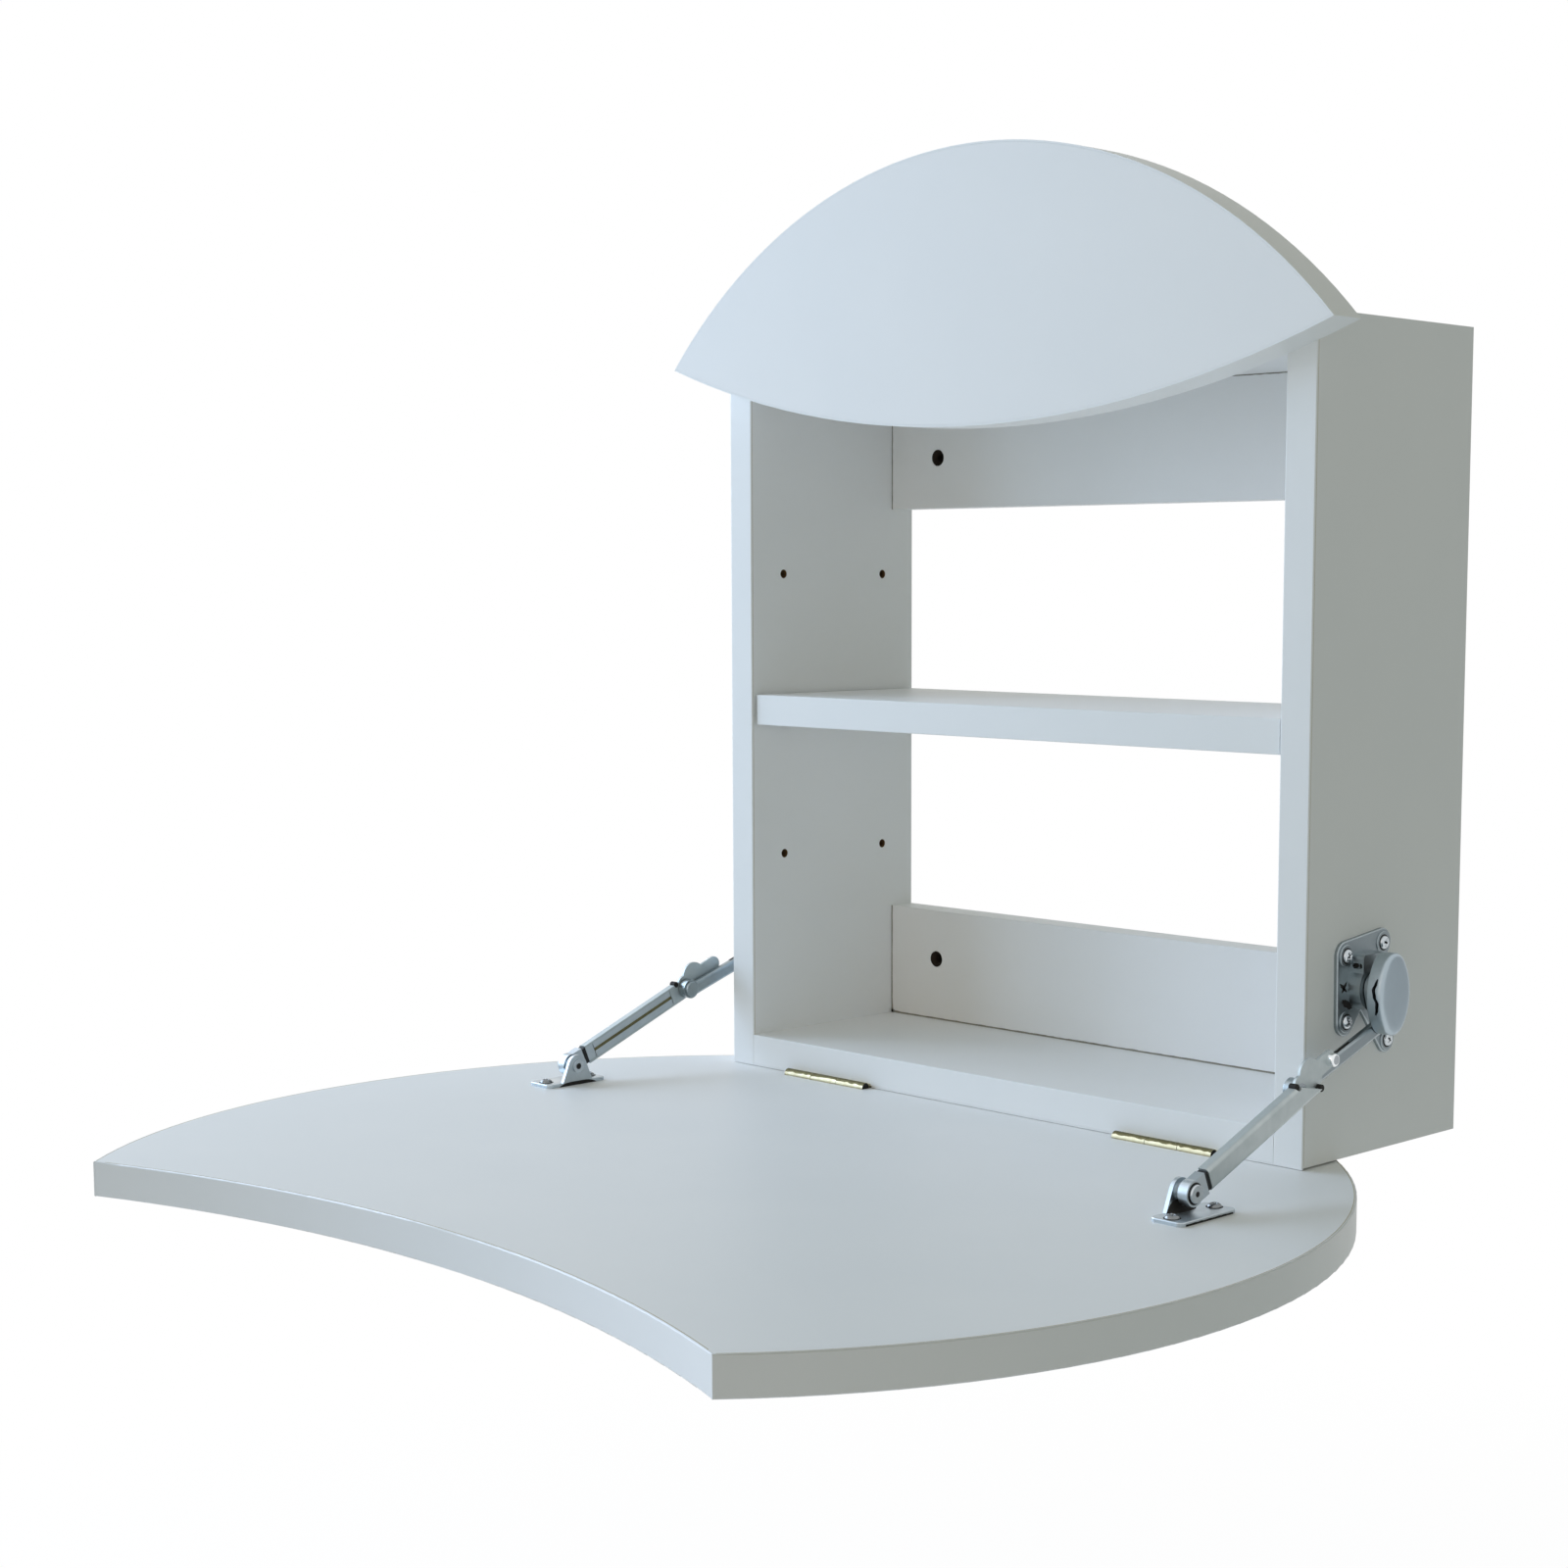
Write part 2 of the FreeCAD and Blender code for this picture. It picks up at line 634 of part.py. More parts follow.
# Each stay piece at its pivot, on the right
stay_pieces = {
    "stay_base": stand(stay_base, axle_y, axle_z, 0),
    "stay_axle": stand(stay_axle, axle_y, axle_z, 0),
    "damper_cell": stand(damper_cell, axle_y, axle_z, 0),
    "damper_cap": stand(damper_cap, axle_y, axle_z, 0),
    "stay_screws": [stand(screw, axle_y, axle_z, 0) for screw in stay_screws],
    "crank_arm": stand(crank_arm, axle_y, axle_z, crank_open),
    "elbow_rivet": stand(elbow_rivet, axle_y, axle_z, crank_open),
    "long_arm": stand(long_arm, eye_y, eye_z, arm_open),
    "stop_stud": stand(stop_stud, eye_y, eye_z, arm_open),
    "elbow_pin": stand(elbow_pin, eye_y, eye_z, arm_open),
    "arm_eye": stand(arm_eye, eye_y, eye_z, arm_open),
    "leaf_bracket": stand(leaf_bracket, eye_y, eye_z, 0),
    "pivot_pin": stand(pivot_pin, eye_y, eye_z, 0),
    "bracket_screws": [stand(screw, eye_y, eye_z, 0) for screw in bracket_screws],
}
side_screw_holes = [stand(hole, axle_y, axle_z, 0) for hole in stay_screw_holes]
leaf_screw_holes = [stand(hole, eye_y, eye_z, 0) for hole in bracket_screw_holes]


# Butt hinges: three knuckles, the outer two on the fixed plate and the middle one on the leaf's plate
knuckle = hinge_length / 3
plate_back = hinge_y + hinge_plate_width
fixed_low = -half_height
leaf_plate_low = leaf_top - hinge_plate


def along_x(x0, x1, radius):
    return rod(V(x0, hinge_y, hinge_z), V(1, 0, 0), x1 - x0, radius)


def hinge_plate_solid(x, low, knuckle_spans, clear_spans):
    left = x - hinge_length / 2
    right = x + hinge_length / 2
    pieces = [box(left, right, hinge_y, plate_back, low, low + hinge_plate)]
    pieces += [along_x(x + a, x + b, knuckle_r) for a, b in knuckle_spans]
    plate = joined(pieces)
    cuts = [along_x(x + a, x + b, knuckle_r + knuckle_room) for a, b in clear_spans]
    return plate.cut(Part.makeCompound(cuts))


outer = (-hinge_length / 2, -knuckle / 2, knuckle / 2, hinge_length / 2)
outer_spans = [(outer[0], outer[1]), (outer[2], outer[3])]
middle_span = [(outer[1] + knuckle_gap, outer[2] - knuckle_gap)]
outer_clear = [(outer[0] - overrun, outer[1] + knuckle_gap), (outer[2] - knuckle_gap, outer[3] + overrun)]
screw_y = hinge_y + hinge_screw_back


# Countersunk screw: the head's wide end lies at the level given, and the shank runs along the direction
def hinge_screw(x, level, direction, clearance):
    axis = V(0, 0, direction)
    start = V(x, screw_y, level)
    head = Part.makeCone(hinge_screw_head_r + clearance, hinge_screw_r + clearance, hinge_plate, start, axis)
    shank = rod(start, axis, hinge_screw_length + clearance, hinge_screw_r + clearance)
    return joined([head, shank])


hinge_parts = {}
cabinet_screws, leaf_screws, cabinet_screw_holes, hinge_leaf_holes = [], [], [], []
plate_pockets, leaf_pockets = [], []
for side, x in (("left", -hinge_offset_x), ("right", hinge_offset_x)):
    fixed_plate = hinge_plate_solid(x, fixed_low, outer_spans, [(outer[1], outer[2])])
    leaf_plate = hinge_plate_solid(x, leaf_plate_low, middle_span, outer_clear)
    bore_start = x - hinge_length / 2 - overrun
    bore_end = x + hinge_length / 2 + overrun
    fixed_plate = fixed_plate.cut(along_x(bore_start, bore_end, hinge_pin_r + fixed_fit))
    leaf_plate = leaf_plate.cut(along_x(bore_start, bore_end, hinge_pin_r + hinge_run))
    for dx in (-hinge_screw_pitch, 0, hinge_screw_pitch):
        cabinet_screws.append(hinge_screw(x + dx, fixed_low, 1, 0))
        leaf_screws.append(hinge_screw(x + dx, leaf_top, -1, 0))
        fixed_hole = hinge_screw(x + dx, fixed_low, 1, fixed_fit)
        leaf_hole = hinge_screw(x + dx, leaf_top, -1, fixed_fit)
        fixed_plate = fixed_plate.cut(fixed_hole)
        leaf_plate = leaf_plate.cut(leaf_hole)
        cabinet_screw_holes.append(fixed_hole)
        hinge_leaf_holes.append(leaf_hole)
    hinge_parts["hinge_plate_" + side] = fixed_plate
    hinge_parts["leaf_plate_" + side] = leaf_plate
    hinge_parts["hinge_pin_" + side] = along_x(x - hinge_length / 2, x + hinge_length / 2, hinge_pin_r)
    pocket_x = (x - hinge_length / 2 - glue_line, x + hinge_length / 2 + glue_line)
    plate_pockets.append(box(*pocket_x, front - overrun, plate_back + glue_line,
                             fixed_low - overrun, fixed_low + hinge_plate + glue_line))
    leaf_pockets.append(box(*pocket_x, hinge_y, plate_back + glue_line,
                            leaf_plate_low - glue_line, leaf_top + overrun))
    room_x = (pocket_x[0] - knuckle_room, pocket_x[1] + knuckle_room)
    leaf_pockets.append(along_x(*room_x, knuckle_r + knuckle_room))


# Cabinet boards
side_core = box(inner_half, half_width, core_front, 0, -half_height, half_height)
side_core = side_core.cut(Part.makeCompound(pin_holes + side_joint_holes + side_screw_holes))
side_core = side_core.cut(side_header_hole)
side_band = box(inner_half, half_width, front, front + band, -half_height, half_height)
side_band = eased(side_band, band_round, long_edges("y", front))
side_band = side_band.cut(side_header_hole)


def end_cuts(panel):
    return [cut for hole in joint_holes[panel] for cut in both_sides(hole)]


bottom_panel = box(-inner_half, inner_half, core_front, 0, -half_height, inner_low)
bottom_panel = bottom_panel.cut(Part.makeCompound(end_cuts("bottom_panel")))
bottom_panel = bottom_panel.cut(Part.makeCompound(plate_pockets)).cut(Part.makeCompound(cabinet_screw_holes))
bottom_band = box(-inner_half, inner_half, front, front + band, -half_height, inner_low)
bottom_band = eased(bottom_band, band_round, long_edges("y", front))
bottom_band = bottom_band.cut(Part.makeCompound(plate_pockets))
top_panel = box(-inner_half, inner_half, front, 0, inner_high, half_height)
top_panel = top_panel.cut(Part.makeCompound(end_cuts("top_panel")))
top_panel = top_panel.cut(Part.makeCompound(top_header_holes))


def wall_rail(panel, low, hole_z, free_z):
    rail = box(-inner_half, inner_half, -board, 0, low, low + rail_height)
    rail = eased(rail, band_round, long_edges("z", free_z))
    rail = rail.cut(Part.makeCompound(end_cuts(panel)))
    for x in (-wall_pitch_x / 2, wall_pitch_x / 2):
        through = rod(V(x, -board - overrun, hole_z), V(0, 1, 0), board + 2 * overrun, wall_hole_r)
        sink = Part.makeCone(wall_sink_r, wall_hole_r, wall_sink_depth, V(x, -board, hole_z), V(0, 1, 0))
        rail = rail.cut(through).cut(sink)
    return rail


rail_top = inner_low + rail_height
lower_rail = wall_rail("lower_rail", inner_low, -wall_pitch_z / 2, rail_top)
upper_rail = wall_rail("upper_rail", -rail_top, wall_pitch_z / 2, -rail_top)

shelf_half = inner_half - shelf_end_gap
shelf_front = front + shelf_setback
shelf_high = shelf_low + board
shelf = box(-shelf_half, shelf_half, shelf_front + band + glue_line, -shelf_setback, shelf_low, shelf_high)
shelf = shelf.cut(Part.makeCompound(pin_grooves))
shelf_band = box(-shelf_half, shelf_half, shelf_front, shelf_front + band, shelf_low, shelf_high)
shelf_band = eased(shelf_band, band_round, long_edges("y", shelf_front))


# Header and leaf: two parts of one disc, split along an arc that sags at the middle
def disc(radius, z, y0, y1):
    return rod(V(0, y0, z), V(0, 1, 0), y1 - y0, radius)


band_line = band + glue_line


def header_disc(radius):
    return disc(radius, disc_z, header_front, front)


def header_split(radius):
    return disc(radius, split_z, header_front, front)


header_panel = header_disc(disc_r - band_line).common(header_split(split_r - band_line))
header_panel = header_panel.cut(Part.makeCompound(top_header_holes + both_sides(side_header_hole)))
header_band_upper = header_disc(disc_r).common(header_split(split_r)).cut(header_disc(disc_r - band))
header_band_lower = header_disc(disc_r - band_line).common(header_split(split_r))
header_band_lower = header_band_lower.cut(header_split(split_r - band))

leaf_back = front - closed_gap


def leaf_disc(radius):
    return disc(radius, disc_z - reveal, leaf_back - board, leaf_back)


def leaf_split(radius):
    return disc(radius, split_z - reveal, leaf_back - board, leaf_back)


def opened(shape):
    shape.rotate(V(0, hinge_y, hinge_z), V(1, 0, 0), 90)
    return shape


leaf_panel = opened(leaf_disc(disc_r - band_line).cut(leaf_split(split_r + band_line)))
leaf_panel = leaf_panel.cut(Part.makeCompound(hinge_leaf_holes)).cut(leaf_pockets[0])
for pocket in leaf_pockets[1:]:
    leaf_panel = leaf_panel.cut(pocket)
for hole in leaf_screw_holes:
    for cut in both_sides(hole):
        leaf_panel = leaf_panel.cut(cut)
leaf_band_round = eased(leaf_disc(disc_r), band_round, rim_edges(disc_r)).cut(leaf_disc(disc_r - band))
leaf_band_round = opened(leaf_band_round.cut(leaf_split(split_r)))
leaf_band_front = leaf_split(split_r + band).cut(leaf_split(split_r))
leaf_band_front = eased(leaf_band_front, band_round, rim_edges(split_r))
leaf_band_front = opened(leaf_band_front.common(leaf_disc(disc_r - band_line)))


# One file for each named piece
os.makedirs("parts", exist_ok=True)
save("side_panel_right", side_core)
save("side_panel_left", mirrored(side_core))
save("side_band_right", side_band)
save("side_band_left", mirrored(side_band))
save("bottom_panel", bottom_panel)
save("bottom_band", bottom_band)
save("top_panel", top_panel)
save("lower_rail", lower_rail)
save("upper_rail", upper_rail)
save("shelf", shelf)
save("shelf_band", shelf_band)
save("shelf_pins", shelf_pins)
save("panel_dowels", dowels)
save("cam_bolts", cam_bolts)
save("cam_discs", cam_discs)
save("header_panel", header_panel)
save("header_band_upper", header_band_upper)
save("header_band_lower", header_band_lower)
save("header_dowels", header_dowels)
save("leaf_panel", leaf_panel)
save("leaf_band_round", leaf_band_round)
save("leaf_band_front", leaf_band_front)
for name, piece in hinge_parts.items():
    save(name, piece)
save("hinge_screws_cabinet", cabinet_screws)
save("hinge_screws_leaf", leaf_screws)
for name, piece in stay_pieces.items():
    solids = piece if isinstance(piece, list) else [piece]
    save(name + "_right", solids)
    save(name + "_left", [mirrored(solid) for solid in solids])
print("crank turn", round(crank_closed_deg - crank_open_deg, 4))
print("arm turn", round(arm_closed_deg - arm_open_deg, 4))
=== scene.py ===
import bmesh
import bpy
import json
import math
import random
from mathutils import Matrix, Vector


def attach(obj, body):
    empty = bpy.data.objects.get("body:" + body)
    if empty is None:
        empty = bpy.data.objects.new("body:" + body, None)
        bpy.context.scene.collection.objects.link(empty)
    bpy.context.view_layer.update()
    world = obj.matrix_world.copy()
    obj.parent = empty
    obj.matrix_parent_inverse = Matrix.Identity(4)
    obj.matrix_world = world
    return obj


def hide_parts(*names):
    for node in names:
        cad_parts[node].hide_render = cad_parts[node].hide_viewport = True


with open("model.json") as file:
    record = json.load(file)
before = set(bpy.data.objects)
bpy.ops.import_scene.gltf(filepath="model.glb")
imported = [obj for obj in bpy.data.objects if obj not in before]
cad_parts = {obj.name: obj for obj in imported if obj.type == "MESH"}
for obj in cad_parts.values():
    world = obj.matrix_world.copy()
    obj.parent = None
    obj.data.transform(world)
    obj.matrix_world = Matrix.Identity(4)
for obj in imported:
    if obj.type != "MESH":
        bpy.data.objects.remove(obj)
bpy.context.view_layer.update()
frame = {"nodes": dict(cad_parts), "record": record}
nodes = frame["nodes"]
mm = 0.001
sides = ((-1, "left"), (1, "right"))
print("frame loaded,", len(nodes), "CAD nodes")


def srgb(code):
    channels = [int(code[i:i + 2], 16) / 255 for i in (1, 3, 5)]
    return (*[c / 12.92 if c <= 0.04045 else ((c + 0.055) / 1.055) ** 2.4 for c in channels], 1.0)


def addNode(tree, kind, inputs=None, **settings):
    node = tree.nodes.new(kind)
    for name, value in settings.items():
        setattr(node, name, value)
    for key, value in (inputs or {}).items():
        if isinstance(value, bpy.types.NodeSocket):
            tree.links.new(value, node.inputs[key])
        else:
            node.inputs[key].default_value = value
    return node


def newMaterial(name, **constants):
    material = bpy.data.materials.new(name)
    material.use_nodes = True
    tree = material.node_tree
    shader = tree.nodes["Principled BSDF"]
    for key, value in constants.items():
        shader.inputs[key.replace("_", " ")].default_value = value
    return material, tree, shader, addNode(tree, "ShaderNodeTexCoord").outputs["Object"]


# the two kinds of surface: detail of the noise in the colour and in the grain, which of them varies the gloss, the bump
faced = {"colourDetail": 3.0, "grainDetail": 2.0, "glossNoise": "grain", "bump": 0.25,
         "constants": {"Specular_IOR_Level": 0.32}}
metal = {"colourDetail": 4.0, "grainDetail": 1.0, "glossNoise": "colour", "bump": 0.12, "depthMm": 0.02,
         "constants": {"Metallic": 1.0}}
noiseSpan = (0.3, 0.7)


def makeSurface(name, kind, look):
    spec = {**kind, **look}
    material, tree, shader, coords = newMaterial(name, **spec["constants"])
    noise = {}
    for use in ("colour", "grain"):
        noise[use] = addNode(tree, "ShaderNodeTexNoise", {
            "Vector": coords, "Scale": 1 / (spec[use + "Mm"] * mm), "Detail": spec[use + "Detail"]}).outputs["Fac"]
    tint = addNode(tree, "ShaderNodeMix", {"Factor": noise["colour"], 6: srgb(spec["light"]), 7: srgb(spec["dark"])},
                   data_type="RGBA")
    rough = addNode(tree, "ShaderNodeMapRange", {
        "Value": noise[spec["glossNoise"]], "From Min": noiseSpan[0], "From Max": noiseSpan[1],
        "To Min": spec["rough"][0], "To Max": spec["rough"][1]})
    bump = addNode(tree, "ShaderNodeBump", {"Height": noise["grain"], "Strength": spec["bump"],
                                            "Distance": spec["depthMm"] * mm})
    tree.links.new(tint.outputs[2], shader.inputs["Base Color"])
    tree.links.new(rough.outputs[0], shader.inputs["Roughness"])
    tree.links.new(bump.outputs[0], shader.inputs["Normal"])
    return material


# melamine-faced chipboard, pressed: an even cool white, satin, with a faint pearl grain in the gloss; the real grain is
# about 0.5 mm and is drawn coarser to show
whiteBoard = makeSurface("melamineFacedChipboard", faced, {
    "light": "#f8f7f5", "dark": "#f3f3f2", "colourMm": 70, "grainMm": 2.2, "depthMm": 0.02, "rough": (0.4, 0.5)})
# extruded ABS edging: the same white, smoother than the faces
bandLook = {"light": "#f7f7f5", "dark": "#f2f3f2", "colourMm": 45, "grainMm": 3.0, "depthMm": 0.012,
            "rough": (0.42, 0.5)}
whiteBand = makeSurface("absEdgeBand", faced, bandLook)
# the same edging round the leaf, painted greyer as the shade it lies in
shadeGreyLeafBand = makeSurface("edgeBandPaintedShade", faced, {**bandLook, "light": "#efefee", "dark": "#eaebea"})
# zinc-plated pressed steel: bright grey, soft gloss, faint rolling lines and a slightly cloudy plating
platedLook = {"light": "#c3cbcf", "dark": "#a9b3b8", "colourMm": 9, "grainMm": 0.7, "rough": (0.28, 0.42)}
staySteel = makeSurface("zincPlatedSteel", metal, platedLook)
# tumbled zinc on the long arms: the same plating rubbed to a satin
tumbledZinc = makeSurface("tumbledZincPlate", metal, {
    **platedLook, "light": "#bcc4c4", "dark": "#a3adae", "rough": (0.46, 0.58)})
# blue-passivated zinc on the pressed bases and the cranks: greyer than the plain plating
dullZinc = makeSurface("bluePassivatedZinc", metal, {
    "light": "#a4aeb1", "dark": "#8b9599", "colourMm": 7, "grainMm": 0.8, "rough": (0.28, 0.42)})
# polished nickel on the stop studs: near white, kept bright by the fingers
polishedNickel = makeSurface("polishedNickelPlate", metal, {
    "light": "#eceff0", "dark": "#dfe4e6", "colourMm": 6, "grainMm": 0.6, "rough": (0.1, 0.18)})
# satin nickel plate on the damper caps: blue-grey with an even, soft gloss
satinNickel = makeSurface("satinNickelPlate", metal, {
    "light": "#b0bdc4", "dark": "#9ba9b1", "colourMm": 14, "grainMm": 0.9, "rough": (0.34, 0.44)})
# brass-plated steel of the hinges: pale yellow, a little cloudy, dull
brass = makeSurface("brassPlatedSteel", metal, {
    "light": "#d6d1b6", "dark": "#b8ae88", "colourMm": 4, "grainMm": 0.8, "rough": (0.4, 0.54)})
# brass painted olive brown, half matt, as shade: on the upper side of the hinge knuckles and in the arms' slots
shadeOliveBrass = makeSurface("brassPaintedWithShade", metal, {
    "light": "#7d7856", "dark": "#5a553c", "colourMm": 3, "grainMm": 0.8, "rough": (0.45, 0.6)})
# turned steel of the pins and the stays' screws: bright, with tight highlights
pinSteel = makeSurface("turnedSteel", metal, {
    "light": "#c9cfd2", "dark": "#b4bcc1", "colourMm": 5, "grainMm": 0.6, "rough": (0.18, 0.3)})
# plain steel of the brackets' screws, burnished: dark grey, fairly glossy
burnishedSteel = makeSurface("burnishedSteel", metal, {
    "light": "#8f9394", "dark": "#6c7072", "colourMm": 4, "grainMm": 0.6, "rough": (0.2, 0.32)})
# die-cast zinc of the cam fittings: mid grey, matt
castZinc = makeSurface("dieCastZinc", metal, {
    "light": "#a3a7a9", "dark": "#8d9294", "colourMm": 4, "grainMm": 0.5, "rough": (0.4, 0.55)})
# turned beech of the dowels: tan, flecked, matt
beech = makeSurface("turnedBeech", faced, {
    "light": "#c9a878", "dark": "#b58f5d", "colourMm": 3, "grainMm": 0.8, "depthMm": 0.05, "rough": (0.55, 0.7)})
# moulded nylon of the damper cells: near black, half matt; also used for the black blocks painted as shade in the arms'
# slots
blackMoulding = makeSurface("mouldedNylon", faced, {
    "light": "#1c1e20", "dark": "#151719", "colourMm": 8, "grainMm": 1.2, "depthMm": 0.02, "rough": (0.45, 0.6)})
# raw chipboard, drilled: warm brown chips of a millimetre or two in darker glue, very matt
chipLook = {"light": "#8a6a45", "dark": "#4b3621", "colourMm": 1.6, "grainMm": 0.7, "depthMm": 0.25,
            "rough": (0.8, 0.95)}
chipboard = makeSurface("drilledChipboard", faced, chipLook)
# the same board painted brown-black as the shade inside the wall-screw holes
shadeDarkChipboard = makeSurface("shadeDarkChipboard", faced, {**chipLook, "light": "#33271b", "dark": "#130e09"})
# joint between two faced boards: a grey-brown hairline where the core and the dust in the gap show
jointShade = makeSurface("dustyBoardJoint", faced, {
    "light": "#a29e93", "dark": "#827d70", "colourMm": 6, "grainMm": 1.0, "depthMm": 0.1, "rough": (0.7, 0.9)})
# hot-melt glue squeezed to a hairline between board and band: pale straw, half shiny
glueLine = makeSurface("hotMeltGlueLine", faced, {
    "light": "#d0c6ac", "dark": "#b6a98e", "colourMm": 12, "grainMm": 1.5, "depthMm": 0.05, "rough": (0.4, 0.6)})
# brown-black, matt: painted shade in recesses, gaps and corners, and a painted dark reflection on the cranks
paintedShadeBlack = makeSurface("paintedShadeBlack", faced, {
    "light": "#17150f", "dark": "#0b0a08", "colourMm": 2, "grainMm": 0.5, "depthMm": 0.05, "rough": (0.6, 0.8)})

slotMaterial = {"white_board": whiteBoard, "edge_band": whiteBand, "beech": beech, "cam_zinc": castZinc,
                "hinge_brass": brass, "stay_steel": staySteel, "damper_cap_zinc": satinNickel,
                "pin_steel": pinSteel, "damper_plastic": blackMoulding}
for part in frame["record"]["subparts"]:
    mesh = nodes[part["node"]].data
    mesh.materials.clear()
    mesh.materials.append(slotMaterial[part["material_slot"]])
ownFinish = {"stay_base": dullZinc, "crank_arm": dullZinc, "elbow_rivet": dullZinc, "long_arm": tumbledZinc,
             "stop_stud": polishedNickel}
for part, finish in ownFinish.items():
    for _, label in sides:
        nodes[part + "_" + label].data.materials[0] = finish
# the leaf's edging gets the copy painted greyer as shade
for node in ("leaf_band_round", "leaf_band_front"):
    nodes[node].data.materials[0] = shadeGreyLeafBand
print("materials set on the CAD nodes")

meshFinish = {"weldMm": 0.001, "sharpDeg": 32}


def finishMesh(name, build, material):
    bmesh.ops.remove_doubles(build, verts=build.verts, dist=meshFinish["weldMm"] * mm)
    bmesh.ops.recalc_face_normals(build, faces=build.faces)
    mesh = bpy.data.meshes.new(name)
    build.to_mesh(mesh)
    build.free()
    mesh.materials.append(material)
    mesh.shade_smooth()
    mesh.set_sharp_from_angle(angle=math.radians(meshFinish["sharpDeg"]))
    return mesh


def addObject(name, data):
    item = bpy.data.objects.new(name, data)
    bpy.context.scene.collection.objects.link(item)
    return item


def buildPiece(name, build, material):
    return addObject(name, finishMesh(name, build, material))


def evaluatedMesh(item):
    return bpy.data.meshes.new_from_object(item.evaluated_get(bpy.context.evaluated_depsgraph_get()))


def lathe(build, profile, segments, closed=False, jitter=None):
    rings = []
    for radius, height in profile:
        if radius == 0:
            rings.append([build.verts.new((0, 0, height * mm))])
            continue
        ring = []
        for step in range(segments):
            angle = math.tau * step / segments
            reach = radius + (jitter() if jitter else 0)
            ring.append(build.verts.new((reach * mm * math.cos(angle), reach * mm * math.sin(angle), height * mm)))
        rings.append(ring)
    pairs = list(zip(rings, rings[1:])) + ([(rings[-1], rings[0])] if closed else [])
    for low, high in pairs:
        for step in range(segments):
            after = (step + 1) % segments
            corners = [low[step % len(low)], low[after % len(low)], high[after % len(high)], high[step % len(high)]]
            build.faces.new(list(dict.fromkeys(corners)))


def addBar(build, rows):
    rings = [[build.verts.new(corner * mm) for corner in row] for row in rows]
    for ring, following in zip(rings, rings[1:]):
        for index in range(len(ring)):
            after = (index + 1) % len(ring)
            build.faces.new((ring[index], ring[after], following[after], following[index]))
    build.faces.new(rings[0])
    build.faces.new(rings[-1])


def addRibbon(build, pairs, outwards, proud, sunk):
    lift = Vector(outwards)
    addBar(build, [[near - lift * sunk, near + lift * proud, far + lift * proud, far - lift * sunk]
                   for near, far in pairs])


def circle(radius, count):
    angles = [math.tau * step / count for step in range(count)]
    return [(radius * math.cos(angle), radius * math.sin(angle)) for angle in angles]


def makeRepeatTree():
    tree = bpy.data.node_groups.new("repeatOnPoints", "GeometryNodeTree")
    for label, kind in (("Points", "Geometry"), ("Piece", "Object"), ("Turn Seed", "Int"), ("Finish", "Material")):
        tree.interface.new_socket(label, in_out="INPUT", socket_type="NodeSocket" + kind)
    tree.interface.new_socket("Mesh", in_out="OUTPUT", socket_type="NodeSocketGeometry")
    given = addNode(tree, "NodeGroupInput").outputs
    source = addNode(tree, "GeometryNodeObjectInfo", {"Object": given["Piece"]})
    aim = addNode(tree, "GeometryNodeInputNamedAttribute", {"Name": "aim"}, data_type="FLOAT_VECTOR")
    upright = addNode(tree, "FunctionNodeAlignRotationToVector", {"Vector": aim.outputs["Attribute"]}, axis="Z")
    angle = addNode(tree, "FunctionNodeRandomValue", {2: 0.0, 3: math.tau, "Seed": given["Turn Seed"]},
                    data_type="FLOAT")
    turn = addNode(tree, "FunctionNodeAxisAngleToRotation", {"Axis": (0, 0, 1), "Angle": angle.outputs[1]})
    pose = addNode(tree, "FunctionNodeRotateRotation", {"Rotation": upright.outputs[0], "Rotate By": turn.outputs[0]},
                   rotation_space="LOCAL")
    placed = addNode(tree, "GeometryNodeInstanceOnPoints", {"Points": given["Points"], "Rotation": pose.outputs[0],
                                                            "Instance": source.outputs["Geometry"]})
    solid = addNode(tree, "GeometryNodeRealizeInstances", {"Geometry": placed.outputs[0]})
    painted = addNode(tree, "GeometryNodeSetMaterial", {"Geometry": solid.outputs[0], "Material": given["Finish"]})
    addNode(tree, "NodeGroupOutput", {"Mesh": painted.outputs[0]})
    return tree


repeatTree = makeRepeatTree()


def repeatPiece(name, source, places, aims, seed, finish):
    points = bpy.data.meshes.new(name + "Points")
    points.from_pydata([[c * mm for c in place] for place in places], [], [])
    points.attributes.new("aim", "FLOAT_VECTOR", "POINT").data.foreach_set("vector", [c for aim in aims for c in aim])
    piece = addObject(name, points)
    maker = addObject(name + "Source", source)
    modifier = piece.modifiers.new("repeat", "NODES")
    modifier.node_group = repeatTree
    values = {"Piece": maker, "Turn Seed": seed, "Finish": finish}
    for socket in repeatTree.interface.items_tree:
        if socket.name in values:
            modifier[socket.identifier] = values[socket.name]
    mesh = evaluatedMesh(piece)
    piece.modifiers.clear()
    piece.data = mesh
    bpy.data.objects.remove(maker)
    return piece


